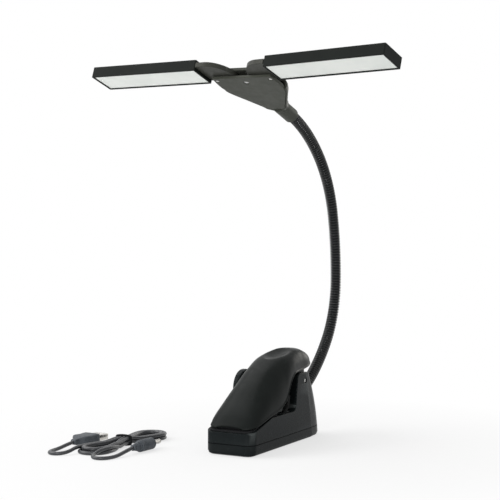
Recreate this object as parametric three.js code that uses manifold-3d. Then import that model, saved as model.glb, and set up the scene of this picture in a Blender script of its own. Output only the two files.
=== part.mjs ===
// Clip-on reading lamp: a battery foot with a sprung clip lever, a gooseneck, and a folding head
// with two LED panels. A power lead, tied up as a hank, lies beside it.
// Millimetres, +Z up. The nose of the clip points to -Y, the origin is on the floor under the foot.
import * as THREE from 'three';
import { mergeVertices } from 'three/addons/utils/BufferGeometryUtils.js';
import Module from 'manifold-3d';

const wasm = await Module();
wasm.setup();

// ---------------------------------------------------------------- shared clearances
const FIT_GAP = 0.3;            // between pieces that sit against each other
const RUNNING_GAP = 0.1;        // between a pin and the bore that turns on it
const CUT_OVER = 1;             // how far a cutter passes the face it cuts

// ---------------------------------------------------------------- foot and casing
const NOSE_Y = -60;             // front face of the foot
const NOSE_HALF_WIDTH = 20.3;
const NOSE_CORNER_RADIUS = 7.5;
const WAIST_HALF_WIDTH = 16;    // where the flat sides end and the stern begins
const WAIST_Y = 46;             // that edge at the floor
const WAIST_LEAN = 0.21;        // it leans forward by this much for each mm of height
const STERN_Y = 68;             // rearmost line at the floor
const STERN_CURVE = 130;        // the stern falls forward by height squared over this length
const STERN_FULLNESS = 3.4;     // 2 is a true ellipse, more is squarer
const STERN_DRAW = 0.1;         // the stern draws in by this much for each mm behind the waist
const STERN_STEP = 0.35;        // how far the flat sides stand proud of it at the waist
const TRAY_HEIGHT = 8.3;
const TRAY_EDGE_BEVEL = 3;
const CASING_WALL = 1.8;
const TRAY_FLOOR = 2;
const SEAM_GAP = 0.3;
const NOSE_DECK_HEIGHT = 16.8;  // jaw bed at the nose
const NOSE_DECK_LENGTH = 1;
const DECK_HEIGHT = 25;         // top of the side walls
const DECK_RISE_Y = -27;        // where the bed reaches that height
const EAR_FOOT_Y = 15;          // front edge of the ears at the deck
const EAR_FILLET = 6;
const EAR_TOP_FRONT_Y = 19;
const EAR_HEIGHT = 53.5;
const EAR_TOP_RADIUS = 5;
const EAR_THICKNESS = 5;
const POD_Y = 3.5;              // round switch pod standing on the left wall
const POD_Z = 43;
const POD_RADIUS = 14;
const POD_INNER_X = -20.3;
const POD_THICKNESS = 5;
const POD_FOOT_HALF_WIDTH = 11;
const BUTTON_RADIUS = 6.5;
const BUTTON_RISE = 1.4;
const BUTTON_THICKNESS = 3;
const BUTTON_TRAVEL = 0.8;
const STERN_WALL_HEIGHT = 45;   // rear wall between the ears
const STERN_WALL = 4;

// ---------------------------------------------------------------- clip
const PIN_Y = 33.5;
const PIN_DROP = 6.5;           // of the pin below the tops of the ears
const PIN_Z = EAR_HEIGHT - PIN_DROP;
const PIN_RADIUS = 1.5;
const PIN_END_RECESS = 0.6;
const PIN_WELL_RADIUS = 2.2;
const LEVER_NOSE_Y = -57.4;
const LEVER_TAIL_Y = 59.4;
const LEVER_WALL = 2.2;
const LEVER_CHEEK_RADIUS = 8.5;
const LEVER_CHEEK_THICKNESS = 3;
const EAR_SIDE_GAP = 0.6;
const EAR_TOP_GAP = 0.9;        // between the tops of the ears and the lever's rim
const DIMPLE_Y = 16;
const DIMPLE_RADIUS = 11.2;
const DIMPLE_DEPTH = 3;
const JAW_PAD_THICKNESS = 1;
const JAW_PAD_INSET = 1.6;
const JAW_PAD_END_Y = -16;
const JAW_PLATE_THICKNESS = 2;
const JAW_PLATE_END_Y = -6;
const SPRING_WIRE_RADIUS = 0.8;
const SPRING_TURNS = 4;
const SPRING_LEG_LENGTH = 14;

// ---------------------------------------------------------------- batteries and electronics
const CELL_RADIUS = 5.25;
const CELL_LENGTH = 44.5;
const CELL_COUNT = 3;
const CELL_PITCH = 10.8;
const CELL_FRONT_Y = -48;
const CONTACT_THICKNESS = 0.4;
const CONTACT_STUD = 1.2;
const DOOR_THICKNESS = 1.6;
const DOOR_MARGIN = 2.4;
const DOOR_GRIP_PITCH = 1.6;    // of the finger grooves in the battery door
const BOARD_THICKNESS = 1.2;
const BOARD_LENGTH = 34;
const BOARD_HALF_WIDTH = 11;
const SOCKET_BORE_RADIUS = 1.95;
const SOCKET_BODY_RADIUS = 3.4;
const SOCKET_DEPTH = 10;
const SOCKET_Y = 28;
const SOCKET_Z = 15;
const CASE_SCREW_RADIUS = 1.2;
const CASE_SCREW_HEAD_RADIUS = 2.3;
const CASE_SCREW_LENGTH = 10;   // from under the tray's seat to the tip

// ---------------------------------------------------------------- gooseneck
const NECK_RADIUS = 4.4;
const NECK_RIB_PITCH = 2.4;
const NECK_RIB_DEPTH = 0.4;
const NECK_SIDES = 8;
const NECK_ROOT_Y = 59;         // where its centre line leaves the stern
const NECK_ROOT_Z = 36.4;
const NECK_ROOT_SLOPE = 28;     // degrees above the horizontal, pointing to the rear
const NECK_SECTION_LENGTH = 57;
const NECK_SECTION_BENDS = [23, 38, 14, 33, 27];    // degrees each section turns forward
const NECK_ROOT_DEPTH = 9;      // length held inside the stern
const NECK_INSERT = 12;         // length held in the head's sleeve
const NECK_NUT_RADIUS = 6.4;
const NECK_NUT_THICKNESS = 3;

// ---------------------------------------------------------------- head
const HEAD_ROLL = 2.4;          // degrees the head sits turned on the neck
const SLEEVE_RADIUS = 6;
const SLEEVE_AXIS_HEIGHT = 4.5; // above the head's underside
const HEAD_LENGTH = 78;         // from the arm pins to the end of the sleeve
const HEAD_THICKNESS = 8.5;
const FRONT_PLATE_THICKNESS = 2.2;
const ARM_PIN_X = 23.1;
const ARM_PIN_RADIUS = 1.5;
const ARM_THICKNESS = 3.6;
const ARM_REAR_EDGE = 2.6;
const ARM_LOBE_WIDTH = 17;
const ARM_OPEN_ANGLES = { left: -2.2, right: 5.6 };     // degrees each arm stands forward of straight
const HUB_FRONT_EDGE = -4.7;
const HUB_TAIL_Y = 56;
const HUB_SHELL_MARGIN = 1.4;   // the rear shell is this much larger in plan than the front plate
const HUB_SCREW_Y = 4.3;
const HUB_SCREW_RADIUS = 1;
const HUB_SCREW_HEAD_RADIUS = 2;
const PANEL_START = 7.3;        // from the arm pin to the panel's inner end
const PANEL_LENGTH = 100;
const PANEL_WIDTH = 24.6;
const PANEL_FRONT_EDGE = 21.8;  // how far it stands forward of the pins
const PANEL_RIM = 1.2;
const PANEL_BACK = 1.4;
const LEDGE_WIDTH = 1;          // step the diffuser rests on
const DIFFUSER_THICKNESS = 1.4;
const DIFFUSER_RECESS = 0.6;
const LED_BOARD_THICKNESS = 1;
const LED_COUNT = 9;
const LED_SIZE = 2.6;
const LED_RISE = 0.7;
const ARM_TONGUE_LENGTH = 14;
const ARM_TONGUE_WIDTH = 14;

// ---------------------------------------------------------------- power lead
const CORD_RADIUS = 1.4;
const HANK_X = -92;             // middle of the tied turns
const HANK_Y = -62;
const HANK_LENGTH = 98;
const HANK_WIDTH = 25.8;
const HANK_WAIST = 12.4;        // width under the tie
const HANK_HEIGHT = 6;
const HANK_LANE_INSET = 1.5;    // from its side to the middle of the outermost turn
const TIE_THICKNESS = 1.5;
const TIE_WIDTH = 3;
const FLOOR_GAP = 0.1;
const DC_X = 27;                // the barrel plug's line, from the middle of the hank
const USB_X = -29;              // the USB plug's line
const PLUG_TAIL_Y = -26;        // where both plugs' tails begin
const DC_BARREL_RADIUS = 1.8;
const DC_BARREL_LENGTH = 9.7;
const DC_GRIP_RADIUS = 4.5;
const DC_GRIP_LENGTH = 17;
const DC_RELIEF_LENGTH = 7.5;
const DC_GROOVE_COUNT = 5;
const DC_GROOVE_PITCH = 0.95;
const DC_GROOVE_DEPTH = 0.25;
const USB_SHELL = { width: 12, height: 4.5, length: 12, wall: 0.4 };
const USB_BODY = { width: 15.4, height: 8, length: 19, bevel: 2 };
const USB_TAIL_LENGTH = 5;      // waisted part behind the body

const degrees = THREE.MathUtils.degToRad;
const lamp = new THREE.Group();

// ================================================================ solids and booleans
/** One closed solid for manifold-3d from a closed three.js geometry. */
function toSolid(geometry) {
  const bare = new THREE.BufferGeometry();
  bare.setAttribute('position', geometry.getAttribute('position').clone());
  if (geometry.index) bare.setIndex(geometry.index.clone());
  const welded = mergeVertices(bare, 1e-4);
  return new wasm.Manifold(new wasm.Mesh({
    numProp: 3,
    vertProperties: new Float32Array(welded.getAttribute('position').array),
    triVerts: new Uint32Array(welded.index.array),
  }));
}

/** A three.js geometry from a manifold-3d solid. */
function toGeometry(solid) {
  const mesh = solid.getMesh();
  const geometry = new THREE.BufferGeometry();
  geometry.setAttribute('position', new THREE.BufferAttribute(Float32Array.from(mesh.vertProperties), 3));
  geometry.setIndex(Array.from(mesh.triVerts));
  return geometry;
}

function unite(first, ...others) {
  return toGeometry(others.reduce((sum, other) => sum.add(toSolid(other)), toSolid(first)));
}

function subtract(first, ...cutters) {
  return toGeometry(cutters.reduce((rest, cutter) => rest.subtract(toSolid(cutter)), toSolid(first)));
}

function intersect(first, second) {
  return toGeometry(toSolid(first).intersect(toSolid(second)));
}

function mirroredX(geometry) {
  const flipped = geometry.clone().applyMatrix4(new THREE.Matrix4().makeScale(-1, 1, 1));
  const welded = flipped.index ? flipped : mergeVertices(flipped);
  const index = Array.from(welded.index.array);
  for (let i = 0; i < index.length; i += 3) [index[i], index[i + 1]] = [index[i + 1], index[i]];
  welded.setIndex(index);
  return welded;
}

// ================================================================ profiles
const AXES = {
  x: new THREE.Matrix4().makeBasis(vec(0, 1, 0), vec(0, 0, 1), vec(1, 0, 0)),
  z: new THREE.Matrix4(),
};

function vec(x, y, z) {
  return new THREE.Vector3(x, y, z);
}

function polygon(points) {
  return new THREE.Shape(points.map(([a, b]) => new THREE.Vector2(a, b)));
}

/** A flat profile drawn in (Y, Z), extruded along X from one face to the other. */
function alongX(shape, from, to) {
  const settings = { depth: to - from, bevelEnabled: false, curveSegments: 8 };
  const geometry = new THREE.ExtrudeGeometry(shape, settings);
  return geometry.applyMatrix4(AXES.x).translate(from, 0, 0);
}

/** A flat outline drawn in (X, Y), extruded along Z from one height to the other. */
function alongZ(shape, from, to, curveSegments = 8) {
  const settings = { depth: to - from, bevelEnabled: false, curveSegments };
  const geometry = new THREE.ExtrudeGeometry(shape, settings);
  return geometry.translate(0, 0, from);
}

function box(x0, x1, y0, y1, z0, z1) {
  const geometry = new THREE.BoxGeometry(x1 - x0, y1 - y0, z1 - z0);
  return geometry.translate((x0 + x1) / 2, (y0 + y1) / 2, (z0 + z1) / 2);
}

/** A round bar from one point to another. */
function bar(from, to, radius, sides = 16, endRadius = radius) {
  const span = to.clone().sub(from);
  const geometry = new THREE.CylinderGeometry(endRadius, radius, span.length(), sides);
  geometry.translate(0, span.length() / 2, 0);
  geometry.applyQuaternion(new THREE.Quaternion().setFromUnitVectors(vec(0, 1, 0), span.normalize()));
  return geometry.translate(from.x, from.y, from.z);
}

/** A closed solid through rings of equally many points, with a flat cap at each end. */
function loft(rings) {
  const count = rings[0].length;
  const positions = rings.flat().flatMap((point) => [point.x, point.y, point.z]);
  const index = [];
  for (let ring = 0; ring + 1 < rings.length; ring += 1) {
    for (let i = 0; i < count; i += 1) {
      const a = ring * count + i;
      const b = ring * count + ((i + 1) % count);
      index.push(a, b, b + count, a, b + count, a + count);
    }
  }
  for (const [ring, turn] of [[0, -1], [rings.length - 1, 1]]) {
    const centre = rings[ring].reduce((sum, point) => sum.add(point), vec(0, 0, 0)).divideScalar(count);
    const hub = positions.length / 3;
    positions.push(centre.x, centre.y, centre.z);
    for (let i = 0; i < count; i += 1) {
      const a = ring * count + i;
      const b = ring * count + ((i + 1) % count);
      index.push(...(turn > 0 ? [a, b, hub] : [b, a, hub]));
    }
  }
  const geometry = new THREE.BufferGeometry();
  geometry.setAttribute('position', new THREE.Float32BufferAttribute(positions, 3));
  geometry.setIndex(signedVolume(positions, index) < 0 ? index.reverse() : index);
  return geometry;
}

/** Volume inside a closed surface, negative where its faces point inwards. */
function signedVolume(positions, index) {
  const corner = (i) => vec(...positions.slice(3 * index[i], 3 * index[i] + 3));
  let volume = 0;
  for (let i = 0; i < index.length; i += 3) {
    volume += corner(i).dot(corner(i + 1).cross(corner(i + 2))) / 6;
  }
  return volume;
}

/** A smooth function of one variable through a few points, given in rising order. */
function smoothThrough(points) {
  const slopes = points.map((point, i) => {
    const before = points[Math.max(i - 1, 0)];
    const after = points[Math.min(i + 1, points.length - 1)];
    return (after[1] - before[1]) / (after[0] - before[0]);
  });
  return (x) => {
    const last = points.length - 2;
    let i = points.findIndex((point) => point[0] > x) - 1;
    if (i < 0) i = x < points[0][0] ? 0 : last;
    const [x0, y0] = points[i];
    const [x1, y1] = points[i + 1];
    const span = x1 - x0;
    const t = THREE.MathUtils.clamp((x - x0) / span, 0, 1);
    const rise = y1 - y0;
    const bend = (slopes[i] * span - rise) * (1 - t) + (rise - slopes[i + 1] * span) * t;
    return y0 + rise * t + bend * t * (1 - t);
  };
}

function spread(from, to, steps) {
  return Array.from({ length: steps + 1 }, (_, i) => from + ((to - from) * i) / steps);
}

// ================================================================ materials
function plastic(color, roughness) {
  return new THREE.MeshStandardMaterial({ color, roughness, metalness: 0 });
}

function metal(color, roughness) {
  return new THREE.MeshStandardMaterial({ color, roughness, metalness: 1 });
}

const SATIN_BLACK = plastic(0x17181a, 0.45);
const MATT_BLACK = plastic(0x1b1c1e, 0.6);
const RUBBER_BLACK = plastic(0x101114, 0.85);
const DIFFUSER_WHITE = plastic(0xeef0f2, 0.55);
const BOARD_WHITE = plastic(0xe4e6e2, 0.5);
const BOARD_GREEN = plastic(0x1f5a35, 0.5);
const STEEL = metal(0xc9ccd0, 0.25);
const NECK_BLACK = metal(0x18191b, 0.5);
const CELL_SLEEVE = plastic(0x8d9298, 0.35);

/** Solid turned about its Y axis, from pairs of radius and height. */
function turned(profile, sides) {
  return new THREE.LatheGeometry(profile.map(([x, y]) => new THREE.Vector2(x, y)), sides);
}

/** Adds one named sub-part to the lamp, or to a group of it. */
function add(name, geometry, material, parent = lamp) {
  const mesh = new THREE.Mesh(geometry, material);
  mesh.name = name;
  parent.add(mesh);
  return mesh;
}

// ================================================================ foot and casing
function sternReach(z) {
  return STERN_Y - (z * z) / STERN_CURVE;
}

function waistY(z) {
  return WAIST_Y - WAIST_LEAN * z;
}

/** Half width of the flat sides, which draw in from the nose corners to the waist. */
function sideHalfWidth(y, z) {
  const start = NOSE_Y + NOSE_CORNER_RADIUS;
  const share = (y - start) / (waistY(z) - start);
  return NOSE_HALF_WIDTH + (WAIST_HALF_WIDTH - NOSE_HALF_WIDTH) * share;
}

/** Outline of the casing at one height: nose, flat sides and rounded stern. */
function planRing(z, inset = 0) {
  const ring = [];
  const cornerY = NOSE_Y + NOSE_CORNER_RADIUS;
  const cornerX = NOSE_HALF_WIDTH - NOSE_CORNER_RADIUS;
  const cornerRadius = NOSE_CORNER_RADIUS - inset;
  for (const [side, from] of [[-1, 180], [1, 270]]) {
    for (const angle of spread(from, from + 90, 5)) {
      const turn = degrees(angle);
      const [across, forward] = [Math.cos(turn), Math.sin(turn)];
      ring.push(vec(side * cornerX + cornerRadius * across, cornerY + cornerRadius * forward, z));
    }
  }
  const rear = waistY(z);
  const bulge = sternReach(z) - inset - rear;
  const half = WAIST_HALF_WIDTH - inset;
  const roundness = 2 / STERN_FULLNESS;
  ring.push(vec(half, rear, z));
  for (const turn of spread(0, Math.PI, 16)) {
    const back = bulge * Math.sin(turn) ** roundness;
    const across = Math.sign(Math.cos(turn)) * Math.abs(Math.cos(turn)) ** roundness;
    ring.push(vec((half - STERN_STEP - STERN_DRAW * back) * across, rear + STERN_STEP / 2 + back, z));
  }
  ring.push(vec(-half, rear, z));
  return ring;
}

function planBody(heights, inset = 0) {
  return loft(heights.map((z) => planRing(z, inset)));
}

/** Height of the jaw bed above the floor along the foot. */
const bedLine = [
  [NOSE_Y - CUT_OVER, NOSE_DECK_HEIGHT],
  [NOSE_Y + NOSE_DECK_LENGTH, NOSE_DECK_HEIGHT],
  [DECK_RISE_Y, DECK_HEIGHT],
];

function bedHeight(y) {
  const [, [rampY, rampZ], [topY, topZ]] = bedLine;
  const share = THREE.MathUtils.clamp((y - rampY) / (topY - rampY), 0, 1);
  return rampZ + (topZ - rampZ) * share;
}

const SLOT_HALF_WIDTH = WAIST_HALF_WIDTH - EAR_THICKNESS;
const SLOT_RAMP_FRONT = [PIN_Y - 10, DECK_HEIGHT];
const SLOT_RAMP_REAR = [PIN_Y + 13, PIN_Z - 11];

/** Height of the casing's top between the sides: the jaw bed, then the ramp between the ears. */
function roofHeight(y) {
  const [frontY, frontZ] = SLOT_RAMP_FRONT;
  const [rearY, rearZ] = SLOT_RAMP_REAR;
  return y < frontY ? bedHeight(y) : frontZ + ((rearZ - frontZ) * (y - frontY)) / (rearY - frontY);
}

/** Side view of the casing: bed, ears and stern, from the seam upwards. */
function casingProfile() {
  const shape = new THREE.Shape();
  const earTopRear = sternReach(EAR_HEIGHT) + CUT_OVER;
  shape.moveTo(NOSE_Y - CUT_OVER, 0);
  bedLine.forEach(([y, z]) => shape.lineTo(y, z));
  shape.lineTo(EAR_FOOT_Y - EAR_FILLET, DECK_HEIGHT);
  shape.quadraticCurveTo(EAR_FOOT_Y, DECK_HEIGHT, EAR_FOOT_Y + 0.8, DECK_HEIGHT + EAR_FILLET);
  shape.lineTo(EAR_TOP_FRONT_Y, EAR_HEIGHT - EAR_TOP_RADIUS);
  shape.quadraticCurveTo(EAR_TOP_FRONT_Y + 0.8, EAR_HEIGHT, EAR_TOP_FRONT_Y + EAR_TOP_RADIUS, EAR_HEIGHT);
  shape.lineTo(PIN_Y + EAR_TOP_RADIUS, EAR_HEIGHT);
  shape.quadraticCurveTo(earTopRear - 3, EAR_HEIGHT, earTopRear, EAR_HEIGHT - 2 * EAR_TOP_RADIUS);
  shape.lineTo(STERN_Y + CUT_OVER, EAR_HEIGHT - 2 * EAR_TOP_RADIUS);
  shape.lineTo(STERN_Y + CUT_OVER, 0);
  return shape;
}

/** Space between the ears, open to the front and the top. */
function earSlot() {
  const wallFoot = sternReach(SLOT_RAMP_REAR[1]) - STERN_WALL;
  const wallTop = sternReach(STERN_WALL_HEIGHT) - STERN_WALL;
  const rear = Math.min(SLOT_RAMP_REAR[0], wallFoot);
  return alongX(polygon([
    [EAR_FOOT_Y - 2 * EAR_FILLET, DECK_HEIGHT],
    SLOT_RAMP_FRONT,
    [rear, SLOT_RAMP_REAR[1]],
    [wallTop, STERN_WALL_HEIGHT],
    [STERN_Y, STERN_WALL_HEIGHT],
    [STERN_Y, EAR_HEIGHT + CUT_OVER],
    [EAR_FOOT_Y - 2 * EAR_FILLET, EAR_HEIGHT + CUT_OVER],
  ]), -SLOT_HALF_WIDTH, SLOT_HALF_WIDTH);
}

const neckRoot = vec(0, NECK_ROOT_Y, NECK_ROOT_Z);
const neckRootDirection = vec(0, Math.cos(degrees(NECK_ROOT_SLOPE)), Math.sin(degrees(NECK_ROOT_SLOPE)));

function alongRoot(distance) {
  return neckRoot.clone().addScaledVector(neckRootDirection, distance);
}

const CASE_SCREWS = [
  [-13, NOSE_Y + 5.5], [13, NOSE_Y + 5.5], [-11, WAIST_Y - 4], [11, WAIST_Y - 4],
];
const SEAM_TOP = TRAY_HEIGHT + SEAM_GAP;
const STERN_HEIGHTS = [SEAM_TOP, 16, 24, 32, 40, 47, EAR_HEIGHT + CUT_OVER];

/** Hollow of the casing over the batteries and the circuit board. */
function casingHollow() {
  const top = alongX(polygon([
    [NOSE_Y, 0],
    [NOSE_Y, NOSE_DECK_HEIGHT - CASING_WALL],
    [NOSE_Y + NOSE_DECK_LENGTH, NOSE_DECK_HEIGHT - CASING_WALL],
    [DECK_RISE_Y, DECK_HEIGHT - CASING_WALL],
    [SLOT_RAMP_FRONT[0], SLOT_RAMP_FRONT[1] - CASING_WALL],
    [SLOT_RAMP_REAR[0], SLOT_RAMP_REAR[1] - 2 * CASING_WALL],
    [STERN_Y, SLOT_RAMP_REAR[1] - 2 * CASING_WALL],
    [STERN_Y, 0],
  ]), -NOSE_HALF_WIDTH, NOSE_HALF_WIDTH);
  const body = planBody([SEAM_TOP - CUT_OVER, 16, 24, SLOT_RAMP_REAR[1]], CASING_WALL);
  return intersect(body, top);
}

/** Upright pod for the push button, growing out of the left wall. */
function switchPod() {
  const shape = new THREE.Shape();
  shape.moveTo(POD_Y - POD_FOOT_HALF_WIDTH, SEAM_TOP);
  shape.lineTo(POD_Y - POD_RADIUS, POD_Z);
  shape.absarc(POD_Y, POD_Z, POD_RADIUS, Math.PI, 0, true);
  shape.lineTo(POD_Y + POD_FOOT_HALF_WIDTH, SEAM_TOP);
  const outer = POD_INNER_X - POD_THICKNESS;
  const root = box(POD_INNER_X - 1, CASING_WALL - WAIST_HALF_WIDTH, POD_Y - POD_FOOT_HALF_WIDTH + 1,
    POD_Y + POD_FOOT_HALF_WIDTH - 1, SEAM_TOP, DECK_HEIGHT);
  const face = new THREE.ExtrudeGeometry(shape, {
    depth: POD_THICKNESS - 2, bevelEnabled: true, bevelThickness: 1, bevelSize: 1, bevelOffset: -1,
    bevelSegments: 2, curveSegments: 16,
  });
  face.applyMatrix4(AXES.x).translate(outer + 1, 0, 0);
  const aboveSeam = box(outer - 1, 0, -STERN_Y, STERN_Y, SEAM_TOP, EAR_HEIGHT + POD_RADIUS);
  return intersect(unite(face, root), aboveSeam);
}

function upperCasing() {
  let casing = intersect(planBody(STERN_HEIGHTS), alongX(casingProfile(), -NOSE_HALF_WIDTH - CUT_OVER,
    NOSE_HALF_WIDTH + CUT_OVER));
  casing = subtract(casing, earSlot(), casingHollow());
  const bosses = CASE_SCREWS.map(([x, y]) => intersect(
    bar(vec(x, y, SEAM_TOP), vec(x, y, roofHeight(y) - 1), CASE_SCREW_HEAD_RADIUS + 0.7, 12),
    planBody([SEAM_TOP, 16, 24, SLOT_RAMP_REAR[1]], 1),
  ));
  casing = unite(casing, ...bosses, subtract(switchPod(), casingHollow()));
  const podFace = POD_INNER_X - POD_THICKNESS;
  const outer = NOSE_HALF_WIDTH;
  const wellFloor = sideHalfWidth(PIN_Y, PIN_Z) - 1.4;
  const holes = CASE_SCREWS.map(([x, y]) => bar(
    vec(x, y, SEAM_TOP - CUT_OVER),
    vec(x, y, CASE_SCREW_LENGTH + 4),
    CASE_SCREW_RADIUS + FIT_GAP,
    10,
  ));
  return subtract(
    casing,
    ...holes,
    bar(vec(-outer, PIN_Y, PIN_Z), vec(outer, PIN_Y, PIN_Z), PIN_RADIUS + RUNNING_GAP, 16),
    bar(vec(wellFloor, PIN_Y, PIN_Z), vec(outer, PIN_Y, PIN_Z), PIN_WELL_RADIUS, 16),
    bar(vec(-outer, PIN_Y, PIN_Z), vec(-wellFloor, PIN_Y, PIN_Z), PIN_WELL_RADIUS, 16),
    bar(vec(podFace - 1, POD_Y, POD_Z), vec(POD_INNER_X - 0.8, POD_Y, POD_Z), BUTTON_RADIUS + FIT_GAP, 24),
    bar(alongRoot(-NECK_ROOT_DEPTH - 2), alongRoot(6), NECK_RADIUS + FIT_GAP, 20),
    bar(alongRoot(-NECK_ROOT_DEPTH - 8), alongRoot(-NECK_ROOT_DEPTH + NECK_NUT_THICKNESS + FIT_GAP),
      NECK_NUT_RADIUS + FIT_GAP, 16),
    bar(vec(-outer, SOCKET_Y, SOCKET_Z), vec(-sideHalfWidth(SOCKET_Y, SOCKET_Z) + CASING_WALL + 1,
      SOCKET_Y, SOCKET_Z), SOCKET_BODY_RADIUS - 1, 16),
  );
}

const CELL_REAR_Y = CELL_FRONT_Y + CELL_LENGTH;
const CELL_Z = TRAY_FLOOR + FIT_GAP + CELL_RADIUS + 0.6;
const BAY_HALF_WIDTH = ((CELL_COUNT - 1) / 2) * CELL_PITCH + CELL_RADIUS + FIT_GAP;
const doorSpan = {
  half: BAY_HALF_WIDTH - DOOR_MARGIN,
  front: CELL_FRONT_Y + DOOR_MARGIN,
  rear: CELL_REAR_Y - DOOR_MARGIN,
};

function roundedRectangle(halfWidth, from, to, radius) {
  const shape = new THREE.Shape();
  shape.moveTo(halfWidth, from + radius);
  shape.lineTo(halfWidth, to - radius);
  shape.absarc(halfWidth - radius, to - radius, radius, 0, Math.PI / 2);
  shape.absarc(-halfWidth + radius, to - radius, radius, Math.PI / 2, Math.PI);
  shape.absarc(-halfWidth + radius, from + radius, radius, Math.PI, 1.5 * Math.PI);
  shape.absarc(halfWidth - radius, from + radius, radius, 1.5 * Math.PI, 2 * Math.PI);
  return shape;
}

function footTray() {
  const outside = loft([
    planRing(0, TRAY_EDGE_BEVEL),
    planRing(TRAY_EDGE_BEVEL * 0.3, TRAY_EDGE_BEVEL * 0.3),
    planRing(TRAY_EDGE_BEVEL, 0),
    planRing(TRAY_HEIGHT, 0),
  ]);
  const hollow = planBody([TRAY_FLOOR, TRAY_HEIGHT + CUT_OVER], CASING_WALL);
  const towers = CASE_SCREWS.map(([x, y]) => intersect(
    bar(vec(x, y, 0), vec(x, y, TRAY_HEIGHT), CASE_SCREW_HEAD_RADIUS + 1, 12),
    outside,
  ));
  const screwHoles = CASE_SCREWS.flatMap(([x, y]) => [
    bar(vec(x, y, -CUT_OVER), vec(x, y, TRAY_HEIGHT + CUT_OVER), CASE_SCREW_RADIUS + FIT_GAP, 10),
    bar(vec(x, y, -CUT_OVER), vec(x, y, 2.4), CASE_SCREW_HEAD_RADIUS + FIT_GAP, 12),
  ]);
  const { half, front, rear } = doorSpan;
  const hatch = alongZ(roundedRectangle(half, front, rear, 2), -CUT_OVER, TRAY_FLOOR + CUT_OVER, 4);
  const body = unite(subtract(outside, hollow), ...towers);
  return subtract(body, hatch, ...screwHoles);
}

function batteryDoor() {
  const { half, front, rear } = doorSpan;
  const panel = alongZ(roundedRectangle(half - FIT_GAP, front + FIT_GAP, rear - FIT_GAP, 2 - FIT_GAP),
    0.2, 0.2 + DOOR_THICKNESS, 4);
  const grips = spread(0, 4, 4).map((i) => {
    const start = front + 4 + i * DOOR_GRIP_PITCH;
    return box(-5, 5, start, start + DOOR_GRIP_PITCH / 2, -CUT_OVER, 0.7);
  });
  return subtract(panel, ...grips);
}

function cell() {
  const r = CELL_RADIUS;
  const shoulder = CELL_LENGTH - 1.2;
  const profile = [[0, 0], [r - 0.6, 0], [r, 0.6], [r, shoulder - 0.6], [r - 0.6, shoulder], [1.9, shoulder],
    [1.9, CELL_LENGTH], [0, CELL_LENGTH]];
  return turned(profile, 14);
}

/** Contact plate across one end of the cells, with a spring or a stud for each of them. */
function cellContact(towardCells) {
  const plate = box(-BAY_HALF_WIDTH + 1, BAY_HALF_WIDTH - 1, 0, CONTACT_THICKNESS, -4.2, 4.2);
  const studs = spread(-1, 1, CELL_COUNT - 1).map((i) => bar(
    vec(i * CELL_PITCH, CONTACT_THICKNESS / 2, 0),
    vec(i * CELL_PITCH, CONTACT_THICKNESS + CONTACT_STUD, 0),
    2.6,
    10,
    1.4,
  ));
  const contact = unite(plate, ...studs);
  return towardCells > 0 ? contact : contact.rotateZ(Math.PI);
}

add('foot_tray', footTray(), SATIN_BLACK);
add('battery_door', batteryDoor(), SATIN_BLACK);
add('upper_casing', upperCasing(), SATIN_BLACK);
for (let i = 0; i < CELL_COUNT; i += 1) {
  const mesh = add(`battery_cell_${i + 1}`, cell(), CELL_SLEEVE);
  mesh.position.set((i - (CELL_COUNT - 1) / 2) * CELL_PITCH, CELL_FRONT_Y, CELL_Z);
}
const CONTACT_REACH = CONTACT_THICKNESS + CONTACT_STUD + FIT_GAP;
add('front_battery_contacts', cellContact(1), STEEL).position.set(0, CELL_FRONT_Y - CONTACT_REACH, CELL_Z);
add('rear_battery_contacts', cellContact(-1), STEEL).position.set(0, CELL_REAR_Y + CONTACT_REACH, CELL_Z);

/** Charging and switching board, on the cells' rear side. */
function circuitBoard() {
  const front = CELL_REAR_Y + CONTACT_REACH + 2;
  const board = box(-BOARD_HALF_WIDTH, BOARD_HALF_WIDTH, front, front + BOARD_LENGTH, 0, BOARD_THICKNESS);
  const chip = box(-3, 3, front + 8, front + 14, BOARD_THICKNESS / 2, BOARD_THICKNESS + 1.6);
  const upright = (x, y, height, radius) => bar(
    vec(x, y, BOARD_THICKNESS / 2),
    vec(x, y, BOARD_THICKNESS + height),
    radius,
    12,
  );
  const coil = upright(5.5, front + 21, 3, 2.6);
  const capacitor = upright(-6, front + 5, 5, 2);
  return unite(board, chip, coil, capacitor);
}

/** Round inlet for the lead's barrel plug, in the left wall. */
function powerSocket() {
  const wall = sideHalfWidth(SOCKET_Y, SOCKET_Z);
  const mouth = -wall + 0.5;
  const r = SOCKET_BODY_RADIUS - 1 - FIT_GAP;
  const nose = bar(vec(mouth, SOCKET_Y, SOCKET_Z), vec(mouth + 3, SOCKET_Y, SOCKET_Z), r, 16);
  const start = -wall + CASING_WALL + 1 + FIT_GAP;
  const body = box(start, mouth + SOCKET_DEPTH + 2, SOCKET_Y - SOCKET_BODY_RADIUS,
    SOCKET_Y + SOCKET_BODY_RADIUS, SOCKET_Z - SOCKET_BODY_RADIUS, SOCKET_Z + SOCKET_BODY_RADIUS);
  const neck = bar(vec(mouth + 1, SOCKET_Y, SOCKET_Z), vec(start + 1, SOCKET_Y, SOCKET_Z), r, 16);
  const bore = bar(vec(mouth - CUT_OVER, SOCKET_Y, SOCKET_Z), vec(mouth + SOCKET_DEPTH, SOCKET_Y, SOCKET_Z),
    SOCKET_BORE_RADIUS, 16);
  const centrePin = bar(vec(mouth + 1.5, SOCKET_Y, SOCKET_Z),
    vec(mouth + SOCKET_DEPTH + 1, SOCKET_Y, SOCKET_Z), 0.5, 8);
  return unite(subtract(unite(nose, neck, body), bore), centrePin);
}

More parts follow.
